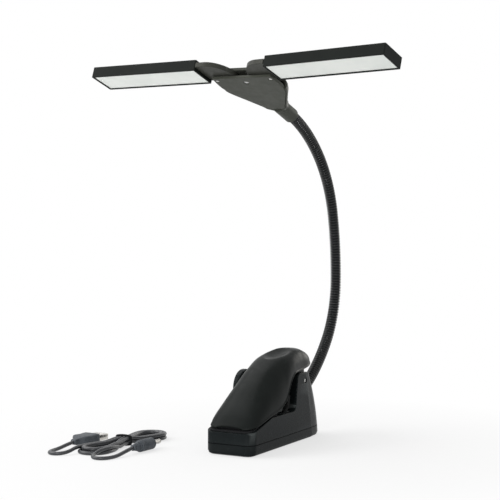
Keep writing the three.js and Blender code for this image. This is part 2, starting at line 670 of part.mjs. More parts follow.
/** Round push button in the pod, with a shallow finger hollow. */
function powerButton() {
  const r = BUTTON_RADIUS;
  const top = BUTTON_THICKNESS;
  const profile = [[0, 0], [r, 0], [r, top - 0.7], [r - 0.7, top], [r * 0.6, top - 0.2], [0, top - 0.6]];
  return turned(profile, 24).rotateZ(Math.PI / 2);
}

function buttonSwitch() {
  const thickness = POD_THICKNESS - 0.8 + BUTTON_RISE - BUTTON_THICKNESS - 2 * FIT_GAP - BUTTON_TRAVEL;
  return box(0, thickness, -3, 3, -3, 3);
}

function screw(headRadius, headHeight, radius, length, sides = 10) {
  const profile = [[0, 0], [headRadius * 0.5, 0], [headRadius, 0.3], [headRadius, headHeight],
    [radius, headHeight], [radius, length - radius * 0.6], [radius * 0.4, length], [0, length]];
  return turned(profile, sides).rotateX(Math.PI / 2);
}

const BOARD_Z = SOCKET_Z - SOCKET_BODY_RADIUS - FIT_GAP - BOARD_THICKNESS;
add('circuit_board', circuitBoard(), BOARD_GREEN).position.set(0, 0, BOARD_Z);
add('power_socket', powerSocket(), MATT_BLACK);
CASE_SCREWS.forEach(([x, y], i) => {
  const solid = screw(CASE_SCREW_HEAD_RADIUS, 1.4, CASE_SCREW_RADIUS, CASE_SCREW_LENGTH);
  add(`case_screw_${i + 1}`, solid, STEEL).position.set(x, y, 0.7);
});

const buttonFloor = POD_INNER_X - POD_THICKNESS - BUTTON_RISE + BUTTON_THICKNESS;
add('power_button', powerButton(), SATIN_BLACK).position.set(buttonFloor, POD_Y, POD_Z);
add('button_switch', buttonSwitch(), MATT_BLACK)
  .position.set(buttonFloor + BUTTON_TRAVEL + FIT_GAP, POD_Y, POD_Z);

// ================================================================ clip lever
const leverHalfWidth = smoothThrough([
  [LEVER_NOSE_Y, 12.5], [-56.3, 15.6], [-54.5, 17.5], [-50, 19.3], [-44, 20.1], [-34, 20.3],
  [-18, 20.2], [-4, 19.4], [8, 17.8],
  [20, 16], [32, 14.2], [44, 12.6], [52, 10.2], [57, 7], [LEVER_TAIL_Y, 2.6],
]);
const EAR_CLEARED = EAR_HEIGHT + EAR_TOP_GAP;
const leverCrown = smoothThrough([
  [LEVER_NOSE_Y, 22.2], [-52, 28.6], [-40, 39], [-24, 52], [-10, 61.4], [4, EAR_CLEARED + 12.8],
  [14, EAR_CLEARED + 15.4], [22, EAR_CLEARED + 17.1], [30, EAR_CLEARED + 18.1], [37, EAR_CLEARED + 17.8],
  [46, EAR_CLEARED + 15.8], [54, EAR_CLEARED + 13], [LEVER_TAIL_Y, EAR_CLEARED + 9.2],
]);
const leverRim = smoothThrough([
  [LEVER_NOSE_Y, 19.3], [-50, 21.2], [-43, 23], [-30, 26.6], [-16, 29.6], [-4, 36],
  [1, EAR_CLEARED - 11.8], [7, EAR_CLEARED - 4.8], [16, EAR_CLEARED], [26, EAR_CLEARED + 0.6],
  [40, EAR_CLEARED + 2], [52, EAR_CLEARED + 3.4], [LEVER_TAIL_Y, EAR_CLEARED + 6],
]);

/** How square the vault is: 2 is an ellipse, and the thumb's place is the flattest. */
const leverFullness = smoothThrough([
  [LEVER_NOSE_Y, 2.5], [-26, 2.5], [-6, 2.8], [10, 3.1], [30, 3], [LEVER_TAIL_Y, 2.5],
]);

const LEVER_STATIONS = [
  LEVER_NOSE_Y, -56.6, -55.2, -53.4, -50, -45, -39, -32, -25, -18, -11, -4, 3, 10, 17, 24, 31, 38, 44,
  49, 53, 56, 58, LEVER_TAIL_Y,
];

/** Section of the lever across the lamp: a rounded vault, with a straight skirt below its rim. */
function leverRing(y, inset, skirt) {
  const half = leverHalfWidth(y) - inset;
  const rim = leverRim(y);
  const rise = leverCrown(y) - inset - rim;
  const roundness = 2 / leverFullness(y);
  const vault = spread(0, Math.PI, 14).map((turn) => {
    const across = Math.sign(Math.cos(turn)) * Math.abs(Math.cos(turn)) ** roundness;
    return vec(half * across, y, rim + rise * Math.abs(Math.sin(turn)) ** roundness);
  });
  return skirt > 0 ? [vec(half, y, rim - skirt), ...vault, vec(-half, y, rim - skirt)] : vault;
}

function leverVault(inset = 0, skirt = 0) {
  const [from, to] = [LEVER_NOSE_Y + inset, LEVER_TAIL_Y - inset];
  const stations = LEVER_STATIONS.map((y) => THREE.MathUtils.clamp(y, from, to));
  const kept = stations.filter((y, i) => i === 0 || y - stations[i - 1] > 0.2);
  return loft(kept.map((y) => leverRing(y, Math.min(inset, leverHalfWidth(y) * 0.6), skirt)));
}

/** Thumb dimple: a shallow ball-shaped hollow, square to the crown of the lever. */
const dimpleBallRadius = (DIMPLE_RADIUS ** 2 + DIMPLE_DEPTH ** 2) / (2 * DIMPLE_DEPTH);
const crownSlope = Math.atan2(leverCrown(DIMPLE_Y + 3) - leverCrown(DIMPLE_Y - 3), 6);

function dimpleBall(extra) {
  const lift = dimpleBallRadius - DIMPLE_DEPTH;
  const ball = new THREE.SphereGeometry(dimpleBallRadius + extra, 36, 22);
  ball.rotateX(Math.PI / 2 + crownSlope);
  const y = DIMPLE_Y - lift * Math.sin(crownSlope);
  return ball.translate(0, y, leverCrown(DIMPLE_Y) + lift * Math.cos(crownSlope));
}

function leverShell() {
  const outer = leverVault();
  let shell = subtract(outer, leverVault(LEVER_WALL, 5));
  const backing = intersect(dimpleBall(LEVER_WALL), leverVault(LEVER_WALL / 2));
  shell = unite(shell, backing);
  const cheekOuter = SLOT_HALF_WIDTH - EAR_SIDE_GAP;
  const cheekInner = cheekOuter - LEVER_CHEEK_THICKNESS;
  const cheek = new THREE.Shape();
  cheek.absarc(PIN_Y, PIN_Z, LEVER_CHEEK_RADIUS, Math.PI, 2 * Math.PI);
  cheek.lineTo(PIN_Y + LEVER_CHEEK_RADIUS, leverCrown(PIN_Y));
  cheek.lineTo(PIN_Y - LEVER_CHEEK_RADIUS, leverCrown(PIN_Y));
  const under = box(-NOSE_HALF_WIDTH, NOSE_HALF_WIDTH, PIN_Y - 20, PIN_Y + 20, 0, leverRim(PIN_Y) + 2);
  const reach = unite(leverVault(LEVER_WALL / 2), under);
  for (const side of [-1, 1]) {
    const from = side > 0 ? cheekInner : -cheekOuter;
    shell = unite(shell, intersect(alongX(cheek, from, from + LEVER_CHEEK_THICKNESS), reach));
  }
  const boreEnd = cheekOuter + CUT_OVER;
  const bore = bar(vec(-boreEnd, PIN_Y, PIN_Z), vec(boreEnd, PIN_Y, PIN_Z), PIN_RADIUS + RUNNING_GAP, 16);
  return subtract(shell, dimpleBall(0), bore);
}

/** Strip between two heights above the jaw bed, from the nose to the given station. */
function jawStrip(low, high, end) {
  const stations = [NOSE_Y, NOSE_Y + NOSE_DECK_LENGTH, Math.min(DECK_RISE_Y, end), end];
  const below = stations.map((y) => [y, bedHeight(y) + low]);
  const above = stations.map((y) => [y, bedHeight(y) + high]).reverse();
  return alongX(polygon([...below, ...above]), -NOSE_HALF_WIDTH, NOSE_HALF_WIDTH);
}

const footPadBottom = FIT_GAP - 0.1;
const leverPadBottom = footPadBottom + JAW_PAD_THICKNESS + FIT_GAP;
const jawPlateBottom = leverPadBottom + JAW_PAD_THICKNESS + 0.2;

function footJawPad() {
  const strip = jawStrip(footPadBottom, footPadBottom + JAW_PAD_THICKNESS, JAW_PAD_END_Y);
  return intersect(strip, planBody([10, DECK_HEIGHT + 8], JAW_PAD_INSET));
}

/** What fits inside the lever's walls between two heights above the jaw bed. */
function insideLever(bottom, thickness, end) {
  return intersect(jawStrip(bottom, bottom + thickness, end), leverVault(LEVER_WALL + FIT_GAP, 5));
}

function clampPin() {
  const reach = sideHalfWidth(PIN_Y, PIN_Z) - PIN_END_RECESS;
  return bar(vec(-reach, PIN_Y, PIN_Z), vec(reach, PIN_Y, PIN_Z), PIN_RADIUS, 16);
}

/** Open helix or any other path, as a round wire with closed ends. */
function wire(curve, radius, sides, steps) {
  const section = new THREE.Shape(spread(0, sides - 1, sides - 1).map((i) => {
    const turn = (i / sides) * 2 * Math.PI;
    return new THREE.Vector2(radius * Math.cos(turn), radius * Math.sin(turn));
  }));
  return new THREE.ExtrudeGeometry(section, { steps, extrudePath: curve, bevelEnabled: false });
}

/** Torsion spring on the pin: one leg lies on the casing, the other under the lever. */
function clampSpring() {
  const coilRadius = PIN_RADIUS + SPRING_WIRE_RADIUS + 1.2;
  const pitch = 2 * SPRING_WIRE_RADIUS + 0.25;
  const width = pitch * SPRING_TURNS;
  const legY = PIN_Y - SPRING_LEG_LENGTH;
  const points = [vec(-width / 2, legY, DECK_HEIGHT + FIT_GAP + SPRING_WIRE_RADIUS)];
  const coilSteps = 10 * SPRING_TURNS;
  const leavesLower = degrees(158);
  const leavesUpper = degrees(210 - 360 * SPRING_TURNS);
  spread(leavesLower, leavesUpper, coilSteps).forEach((turn, i) => {
    points.push(vec(-width / 2 + (width * i) / coilSteps, PIN_Y + coilRadius * Math.cos(turn),
      PIN_Z + coilRadius * Math.sin(turn)));
  });
  const upperLegZ = leverCrown(legY) - LEVER_WALL - DIMPLE_DEPTH - 2.6;
  points.push(vec(width / 2, legY, upperLegZ));
  return wire(new THREE.CatmullRomCurve3(points, false, 'centripetal'), SPRING_WIRE_RADIUS, 6, 72);
}

add('foot_jaw_pad', footJawPad(), RUBBER_BLACK);
add('lever_shell', leverShell(), MATT_BLACK);
add('lever_jaw_plate', insideLever(jawPlateBottom, JAW_PLATE_THICKNESS, JAW_PLATE_END_Y), SATIN_BLACK);
add('lever_jaw_pad', insideLever(leverPadBottom, JAW_PAD_THICKNESS, JAW_PAD_END_Y), RUBBER_BLACK);
add('clamp_pin', clampPin(), STEEL);
add('clamp_spring', clampSpring(), STEEL);

// ================================================================ gooseneck
const sectionCount = NECK_SECTION_BENDS.length;
const NECK_RING_PHASE = 0.25;   // of one side, so that no edge lies in the lamp's middle plane
const BALL_LATITUDES = [-72, -48, -24, 0];
const CUP_LATITUDES = [-42, -60, -76];

/** Place and heading of the neck's centre line, at a distance from the stern. Heading 0 is +Y. */
function neckAt(distance) {
  let y = NECK_ROOT_Y;
  let z = NECK_ROOT_Z;
  let heading = degrees(NECK_ROOT_SLOPE);
  let left = distance;
  NECK_SECTION_BENDS.forEach((bend, i) => {
    const run = i === sectionCount - 1 ? left : Math.min(left, NECK_SECTION_LENGTH);
    const curvature = degrees(bend) / NECK_SECTION_LENGTH;
    const next = heading + curvature * Math.max(run, 0);
    y += (Math.sin(next) - Math.sin(heading)) / curvature;
    z -= (Math.cos(next) - Math.cos(heading)) / curvature;
    heading = next;
    left = Math.max(left - run, 0);
  });
  return { y, z, heading };
}

const neckEnd = neckAt(NECK_SECTION_LENGTH * sectionCount);

/** Ring round the neck's axis at one station, moved along the axis by shift. */
function neckRing(station, radius, shift = 0) {
  const { y, z, heading } = station;
  const forward = vec(0, Math.cos(heading), Math.sin(heading));
  const normal = vec(0, -Math.sin(heading), Math.cos(heading));
  return spread(0, NECK_SIDES - 1, NECK_SIDES - 1).map((i) => {
    const turn = ((i + NECK_RING_PHASE) / NECK_SIDES) * 2 * Math.PI;
    return vec(radius * Math.cos(turn), y, z)
      .addScaledVector(normal, radius * Math.sin(turn))
      .addScaledVector(forward, shift);
  });
}

/** Half of a ball about a joint: rings from the axis to the rim. */
function ballRings(station, radius, latitudes) {
  return latitudes.map((angle) => neckRing(station, radius * Math.cos(degrees(angle)),
    radius * Math.sin(degrees(angle))));
}

/** One section of the neck: a ball at its lower end, wound ribs, and a cup for the next ball. */
function neckSection(i) {
  const from = i * NECK_SECTION_LENGTH;
  const to = from + NECK_SECTION_LENGTH;
  const isRoot = i === 0;
  const isTop = i === sectionCount - 1;
  const lower = isRoot
    ? [neckRing(neckAt(0), NECK_RADIUS, -NECK_ROOT_DEPTH), neckRing(neckAt(0), NECK_RADIUS)]
    : ballRings(neckAt(from), NECK_RADIUS, BALL_LATITUDES);
  const ribCount = Math.round(NECK_SECTION_LENGTH / NECK_RIB_PITCH) - 1;
  const cupRadius = NECK_RADIUS + FIT_GAP;
  const rim = Math.acos(NECK_RADIUS / cupRadius);
  const ribStart = from + NECK_RIB_PITCH / 2;
  const ribEnd = to - (isTop ? NECK_RIB_PITCH / 2 : cupRadius * Math.sin(rim) + 0.4);
  const ribs = spread(ribStart, ribEnd, 2 * ribCount).map((distance, step) => neckRing(
    neckAt(distance),
    NECK_RADIUS - (step % 2 === 0 ? NECK_RIB_DEPTH : 0),
  ));
  const rimAngle = THREE.MathUtils.radToDeg(rim);
  const upper = isTop
    ? [neckRing(neckAt(to), NECK_RADIUS), neckRing(neckAt(to), NECK_RADIUS, NECK_INSERT)]
    : ballRings(neckAt(to), cupRadius, [-rimAngle, ...CUP_LATITUDES]);
  return loft([...lower, ...ribs, ...upper]);
}

for (let i = 0; i < sectionCount; i += 1) {
  add(`gooseneck_section_${i + 1}`, neckSection(i), NECK_BLACK);
}

/** Hexagon nut that holds the neck's root inside the stern. */
function neckNut() {
  const near = alongRoot(-NECK_ROOT_DEPTH);
  const far = alongRoot(-NECK_ROOT_DEPTH + NECK_NUT_THICKNESS);
  return subtract(
    bar(near, far, NECK_NUT_RADIUS, 6),
    bar(alongRoot(-NECK_ROOT_DEPTH - 1), alongRoot(0), NECK_RADIUS + RUNNING_GAP, 20),
  );
}

add('gooseneck_nut', neckNut(), STEEL);

// ================================================================ head
const head = new THREE.Group();
head.quaternion.setFromEuler(new THREE.Euler(neckEnd.heading - Math.PI, degrees(HEAD_ROLL), 0, 'XYZ'));
head.position.set(0, neckEnd.y, neckEnd.z)
  .sub(vec(0, HEAD_LENGTH, SLEEVE_AXIS_HEIGHT).applyQuaternion(head.quaternion));
lamp.add(head);

const hubSide = [
  [25.5, HUB_FRONT_EDGE], [26.4, 4], [26.6, 12], [24.6, 22], [21.2, 29], [17.2, 36], [13.2, 43.5], [9.6, 50],
];
const ARM_BOTTOM = FRONT_PLATE_THICKNESS + FIT_GAP;
const SLOT_TOP = ARM_BOTTOM + ARM_THICKNESS + FIT_GAP;
const SLOT_END_Y = ARM_LOBE_WIDTH + 1.2;

/** Half-leaf outline of the hub, grown outwards by a margin, at one height. */
function hubRing(z, grow, tailGrow = grow) {
  const right = new THREE.SplineCurve(hubSide.map(([x, y]) => new THREE.Vector2(x + grow, y))).getPoints(14);
  const tail = spread(0, Math.PI, 6).slice(1, -1).map((turn) => new THREE.Vector2(
    (hubSide.at(-1)[0] + grow) * Math.cos(turn),
    hubSide.at(-1)[1] + (HUB_TAIL_Y - hubSide.at(-1)[1] + tailGrow) * Math.sin(turn),
  ));
  const left = right.map((point) => new THREE.Vector2(-point.x, point.y)).reverse();
  return [...right, ...tail, ...left].map((point) => vec(point.x, point.y, z));
}

function hubBody(levels) {
  return loft(levels.map(([z, grow, tailGrow]) => hubRing(z, grow, tailGrow)));
}

/** Bore on the hub screw's axis, between two heights. */
function hubScrewBore(from, to, radius) {
  return bar(vec(0, HUB_SCREW_Y, from), vec(0, HUB_SCREW_Y, to), radius, 14);
}

function hubFrontPlate() {
  const plate = hubBody([[0, -0.5], [0.5, 0], [FRONT_PLATE_THICKNESS, 0]]);
  const pinBores = [-1, 1].map((side) => bar(vec(side * ARM_PIN_X, 0, -1),
    vec(side * ARM_PIN_X, 0, FRONT_PLATE_THICKNESS + 1), ARM_PIN_RADIUS + RUNNING_GAP, 16));
  const throughRadius = HUB_SCREW_RADIUS + 2 * RUNNING_GAP;
  const screwBore = hubScrewBore(-CUT_OVER, FRONT_PLATE_THICKNESS + CUT_OVER, throughRadius);
  const screwSeat = hubScrewBore(-CUT_OVER, 1.3, HUB_SCREW_HEAD_RADIUS + FIT_GAP);
  return subtract(plate, ...pinBores, screwBore, screwSeat);
}

function hubRearShell() {
  const margin = HUB_SHELL_MARGIN;
  const shell = hubBody([
    [0.4, margin - 0.5, 3], [1, margin, 4], [4.5, margin, 4], [6.6, margin - 0.8, 3], [7.8, margin - 2.6, 2],
    [HEAD_THICKNESS, margin - 5, 1],
  ]);
  const sleeve = bar(vec(0, HUB_TAIL_Y - 10, SLEEVE_AXIS_HEIGHT), vec(0, HEAD_LENGTH, SLEEVE_AXIS_HEIGHT),
    SLEEVE_RADIUS, 24);
  const lip = box(-40, 40, HUB_FRONT_EDGE - 5, HUB_FRONT_EDGE, -1, HEAD_THICKNESS + 1);
  const recess = hubBody([[-8, FIT_GAP], [ARM_BOTTOM - 0.05, FIT_GAP]]);
  const armSlot = box(-40, 40, HUB_FRONT_EDGE - 5, SLOT_END_Y, -1, SLOT_TOP);
  const neckBore = bar(vec(0, HEAD_LENGTH - NECK_INSERT - 2, SLEEVE_AXIS_HEIGHT),
    vec(0, HEAD_LENGTH + 1, SLEEVE_AXIS_HEIGHT), NECK_RADIUS + FIT_GAP, 20);
  const pinBores = [-1, 1].map((side) => bar(vec(side * ARM_PIN_X, 0, SLOT_TOP - 1),
    vec(side * ARM_PIN_X, 0, HEAD_THICKNESS - 0.9), ARM_PIN_RADIUS + RUNNING_GAP, 16));
  const screwBore = hubScrewBore(SLOT_TOP - CUT_OVER, HEAD_THICKNESS - 0.7, HUB_SCREW_RADIUS + RUNNING_GAP);
  return subtract(unite(shell, sleeve), lip, recess, armSlot, neckBore, ...pinBores, screwBore);
}

add('hub_front_plate', hubFrontPlate(), SATIN_BLACK, head);
add('hub_rear_shell', hubRearShell(), MATT_BLACK, head);
const hubScrew = screw(HUB_SCREW_HEAD_RADIUS, 1, HUB_SCREW_RADIUS, HEAD_THICKNESS - 1.2);
add('hub_screw', hubScrew, STEEL, head).position.set(0, HUB_SCREW_Y, 0.2);

/** Arm: a flat fin from the pin to the panel, with a rounded lobe that stays in the hub's slot. */
function armOutline() {
  const shape = new THREE.Shape();
  const join = PANEL_START - FIT_GAP;
  const tongueHalf = ARM_TONGUE_WIDTH / 2;
  const tongueY = (ARM_REAR_EDGE - PANEL_FRONT_EDGE) / 2;
  const tongueEnd = PANEL_START + ARM_TONGUE_LENGTH;
  shape.moveTo(0, -PANEL_FRONT_EDGE);
  shape.lineTo(join, -PANEL_FRONT_EDGE);
  shape.lineTo(join, tongueY - tongueHalf);
  shape.lineTo(tongueEnd, tongueY - tongueHalf);
  shape.lineTo(tongueEnd, tongueY + tongueHalf);
  shape.lineTo(join, tongueY + tongueHalf);
  shape.lineTo(join, ARM_REAR_EDGE);
  shape.lineTo(-ARM_LOBE_WIDTH + 5, ARM_REAR_EDGE);
  shape.quadraticCurveTo(-ARM_LOBE_WIDTH, ARM_REAR_EDGE, -ARM_LOBE_WIDTH, -0.5);
  shape.absellipse(0, -0.5, ARM_LOBE_WIDTH, PANEL_FRONT_EDGE - 0.5, Math.PI, 1.5 * Math.PI);
  return shape;
}

function arm() {
  const fin = alongZ(armOutline(), ARM_BOTTOM, ARM_BOTTOM + ARM_THICKNESS, 12);
  return subtract(fin, bar(vec(0, 0, 0), vec(0, 0, HEAD_THICKNESS), ARM_PIN_RADIUS + RUNNING_GAP, 16));
}

const panelY = [-PANEL_FRONT_EDGE, PANEL_WIDTH - PANEL_FRONT_EDGE];
const panelX = [PANEL_START, PANEL_START + PANEL_LENGTH];

/** Block inside the panel's outline, drawn in from its sides. */
function panelBlock(inset, z0, z1) {
  return box(panelX[0] + inset, panelX[1] - inset, panelY[0] + inset, panelY[1] - inset, z0, z1);
}

const ledgeHeight = DIFFUSER_RECESS + DIFFUSER_THICKNESS + FIT_GAP;

function panelHousing() {
  const edge = 0.8;
  const shape = new THREE.Shape();
  const [x0, x1] = panelX;
  const [y0, y1] = panelY;
  shape.moveTo(x0 + edge, y0);
  shape.absarc(x1 - edge, y0 + edge, edge, 1.5 * Math.PI, 2 * Math.PI);
  shape.absarc(x1 - edge, y1 - edge, edge, 0, 0.5 * Math.PI);
  shape.absarc(x0 + edge, y1 - edge, edge, 0.5 * Math.PI, Math.PI);
  shape.absarc(x0 + edge, y0 + edge, edge, Math.PI, 1.5 * Math.PI);
  const tongueHalf = ARM_TONGUE_WIDTH / 2 + FIT_GAP;
  const tongueY = (ARM_REAR_EDGE - PANEL_FRONT_EDGE) / 2;
  return subtract(
    alongZ(shape, 0, HEAD_THICKNESS, 3),
    panelBlock(PANEL_RIM, -1, ledgeHeight),
    panelBlock(PANEL_RIM + LEDGE_WIDTH, -1, HEAD_THICKNESS - PANEL_BACK),
    box(x0 - 1, x0 + 3, tongueY - tongueHalf, tongueY + tongueHalf, ARM_BOTTOM - FIT_GAP, SLOT_TOP),
  );
}

function diffuser() {
  return panelBlock(PANEL_RIM + FIT_GAP, DIFFUSER_RECESS, DIFFUSER_RECESS + DIFFUSER_THICKNESS);
}

function ledBoard() {
  const inset = PANEL_RIM + LEDGE_WIDTH + FIT_GAP;
  const top = HEAD_THICKNESS - PANEL_BACK - FIT_GAP;
  const from = panelX[0] + ARM_TONGUE_LENGTH + 1;
  const to = panelX[1] - inset;
  const board = box(from, to, panelY[0] + inset, panelY[1] - inset, top - LED_BOARD_THICKNESS, top);
  const middle = (panelY[0] + panelY[1]) / 2;
  const half = LED_SIZE / 2;
  const [face, base] = [top - LED_BOARD_THICKNESS - LED_RISE, top - LED_BOARD_THICKNESS / 2];
  const leds = spread(from + 5, to - 5, LED_COUNT - 1).map((x) => (
    box(x - half, x + half, middle - half, middle + half, face, base)
  ));
  return unite(board, ...leds);
}

function pivotPin() {
  const length = HEAD_THICKNESS - 1.5;
  const r = ARM_PIN_RADIUS;
  const profile = [[0, 0], [r - 0.3, 0], [r, 0.3], [r, length], [0, length]];
  return turned(profile, 16).rotateX(Math.PI / 2);
}

for (const [side, name] of [[-1, 'left'], [1, 'right']]) {
  const wing = new THREE.Group();
  wing.position.set(side * ARM_PIN_X, 0, 0);
  wing.rotation.z = -side * degrees(ARM_OPEN_ANGLES[name]);
  head.add(wing);
  const handed = (geometry) => (side > 0 ? geometry : mirroredX(geometry));
  add(`${name}_arm`, handed(arm()), SATIN_BLACK, wing);
  add(`${name}_panel_housing`, handed(panelHousing()), MATT_BLACK, wing);
  add(`${name}_diffuser`, handed(diffuser()), DIFFUSER_WHITE, wing);
  add(`${name}_led_board`, handed(ledBoard()), BOARD_WHITE, wing);
  add(`${name}_pivot_pin`, pivotPin(), STEEL, wing).position.set(0, 0, 0.2);
}

// ================================================================ power lead, tied as a hank
/** Outline of the tied lead: a round fold at each end, and a waist under the tie. */
function hankOutline() {
  const fold = HANK_WIDTH / 2;
  const waist = HANK_WAIST / 2;
  const reach = HANK_LENGTH / 2 - fold;
  const ease = reach / 2;
  const outline = new THREE.Shape();
  outline.absarc(0, -reach, fold, Math.PI, 2 * Math.PI);
  outline.bezierCurveTo(fold, -ease, waist, -ease, waist, 0);
  outline.bezierCurveTo(waist, ease, fold, ease, fold, reach);
  outline.absarc(0, reach, fold, 0, Math.PI);
  outline.bezierCurveTo(-fold, ease, -waist, ease, -waist, 0);
  outline.bezierCurveTo(-waist, -ease, -fold, -ease, -fold, -reach);
  return outline;
}

/** The tied turns of the lead, with a groove below for the tie, which lifts them off the floor. */
function hank() {
  const groove = TIE_WIDTH / 2 + FIT_GAP;
  const body = alongZ(hankOutline(), 0, HANK_HEIGHT, 8);
  return subtract(body, box(-HANK_WIDTH, HANK_WIDTH, -groove, groove, -CUT_OVER, TIE_THICKNESS + FIT_GAP));
}

/** Rubber ring round the waist of the tied turns. */
function cordTie() {
  const half = TIE_WIDTH / 2;
  const t = TIE_THICKNESS;
  const reach = HANK_WAIST / 2 + FIT_GAP;
  return subtract(
    box(-reach - t, reach + t, -half, half, 0, HANK_HEIGHT + FIT_GAP + t),
    box(-reach, reach, -half - CUT_OVER, half + CUT_OVER, t, HANK_HEIGHT + FIT_GAP),
  );
}

const CORD_Z = FLOOR_GAP + CORD_RADIUS;
const DC_GRIP_Z = FLOOR_GAP + DC_GRIP_RADIUS;
const USB_Z = FLOOR_GAP + USB_BODY.height / 2;
const TAIL_LANE = HANK_WIDTH / 2 - HANK_LANE_INSET;

/** Place in the lamp's frame of a point given from the middle of the hank. */
function fromHank(x, y, z) {
  return vec(HANK_X + x, HANK_Y + y, z);
}

const plugTail = [
  fromHank(DC_X, PLUG_TAIL_Y, DC_GRIP_Z), fromHank(DC_X, -33, 3.6), fromHank(DC_X, -40, 2.3),
  fromHank(DC_X, -46, CORD_Z), fromHank(26.7, -52, CORD_Z), fromHank(24.7, -57.5, CORD_Z),
  fromHank(19.2, -59.8, CORD_Z), fromHank(13.7, -57.5, 1.6), fromHank(11.5, -52.5, 2.3),
  fromHank(TAIL_LANE, -48.4, 3.4), fromHank(TAIL_LANE, -44.7, 4.2),
];
const usbTail = [
  fromHank(USB_X, PLUG_TAIL_Y, USB_Z), fromHank(USB_X, -33, 3.3), fromHank(USB_X, -40, 2.1),
  fromHank(USB_X, -46, CORD_Z), fromHank(-28.6, -52, CORD_Z), fromHank(-25.6, -58.4, CORD_Z),
  fromHank(-20.2, -60.8, CORD_Z), fromHank(-14.6, -58.6, 1.6), fromHank(-11.9, -53.2, 2.2),
  fromHank(-TAIL_LANE, -48.4, 3.4), fromHank(-TAIL_LANE, -44.7, 4.2),
];

function cordTube(points) {
  return wire(new THREE.CatmullRomCurve3(points, false, 'centripetal'), CORD_RADIUS, 8, 14);
}

/** Grip of the barrel plug: strain relief, ribbed grip, collar, all turned about its axis. */
function dcGrip() {
  const r = DC_GRIP_RADIUS;
  const relief = DC_RELIEF_LENGTH;
  const front = relief + DC_GRIP_LENGTH;
  const profile = [
    [0, 0], [CORD_RADIUS + 0.9, 0], [r - 1.2, relief], [r - 0.4, relief + 0.4], [r, relief + 1.2],
  ];
  for (let i = 0; i < DC_GROOVE_COUNT; i += 1) {
    const y = relief + 2.6 + i * DC_GROOVE_PITCH;
    profile.push([r, y], [r - DC_GROOVE_DEPTH, y + 0.3], [r, y + 0.6]);
  }
  profile.push([r, front - 0.8], [r - 0.8, front], [0, front]);
  return turned(profile, 12);
}

function dcBarrel() {
  const r = DC_BARREL_RADIUS;
  const length = DC_BARREL_LENGTH;
  const bore = 0.7;
  const profile = [
    [0, 0], [r + 0.6, 0], [r + 0.6, 0.5], [r, 0.6], [r, length - 0.3], [r - 0.3, length],
    [bore, length], [bore, length - 7], [0, length - 7],
  ];
  return turned(profile, 16);
}

/** Moulded body of the USB plug, with a waisted tail for the cord. */
function usbBody() {
  const { width, height, length, bevel } = USB_BODY;
  const section = (half, halfHeight, y) => [
    vec(half - bevel, y, -halfHeight), vec(half, y, -halfHeight + bevel), vec(half, y, halfHeight - bevel),
    vec(half - bevel, y, halfHeight), vec(-half + bevel, y, halfHeight), vec(-half, y, halfHeight - bevel),
    vec(-half, y, -halfHeight + bevel), vec(-half + bevel, y, -halfHeight),
  ];
  const w = width / 2;
  const h = height / 2;
  return loft([
    section(bevel + 0.9, bevel + 0.2, 0),
    section(bevel + 1.6, bevel + 0.7, USB_TAIL_LENGTH),
    section(w - 1.4, h - 0.4, USB_TAIL_LENGTH + 3),
    section(w, h, USB_TAIL_LENGTH + 5),
    section(w, h, USB_TAIL_LENGTH + length - 1),
    section(w - 0.8, h - 0.6, USB_TAIL_LENGTH + length),
  ]);
}

function usbShell() {
  const { width, height, length, wall } = USB_SHELL;
  const w = width / 2;
  const h = height / 2;
  const windows = [-1, 1].map((side) => box(side * 2.6 - 1.1, side * 2.6 + 1.1, 5, 7.6, -h - 1, h + 1));
  const hollow = box(-w + wall, w - wall, 1, length + CUT_OVER, -h + wall, h - wall);
  const sleeve = subtract(box(-w, w, 0, length, -h, h), hollow);
  const tongue = box(-w + 0.8, w - 0.8, 0.5, length - 0.6, 0.1, h - wall - 0.3);
  return unite(subtract(sleeve, ...windows), tongue);
}

add('cord_hank', hank(), RUBBER_BLACK).position.set(HANK_X, HANK_Y, FLOOR_GAP);
add('cord_tie', cordTie(), RUBBER_BLACK).position.set(HANK_X, HANK_Y, FLOOR_GAP);
add('plug_cord', cordTube(plugTail), RUBBER_BLACK);
add('usb_cord', cordTube(usbTail), RUBBER_BLACK);
const gripY = PLUG_TAIL_Y + FIT_GAP;
const barrelY = gripY + DC_RELIEF_LENGTH + DC_GRIP_LENGTH + FIT_GAP;
const shellY = gripY + USB_TAIL_LENGTH + USB_BODY.length + FIT_GAP;
add('dc_plug_grip', dcGrip(), MATT_BLACK).position.copy(fromHank(DC_X, gripY, DC_GRIP_Z));
add('dc_plug_barrel', dcBarrel(), STEEL).position.copy(fromHank(DC_X, barrelY, DC_GRIP_Z));
add('usb_plug_body', usbBody(), MATT_BLACK).position.copy(fromHank(USB_X, gripY, USB_Z));
add('usb_plug_shell', usbShell(), STEEL).position.copy(fromHank(USB_X, shellY, USB_Z));

export default lamp;
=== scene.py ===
"""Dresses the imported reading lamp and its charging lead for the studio.

The lamp stands on its wedge foot with its nose towards -Y and its neck rising
from the stern. Every size below is in millimetres unless its name says
otherwise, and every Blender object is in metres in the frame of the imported
model.
"""

import logging
import math
from collections.abc import Callable, Sequence
from dataclasses import dataclass, field
from enum import Enum

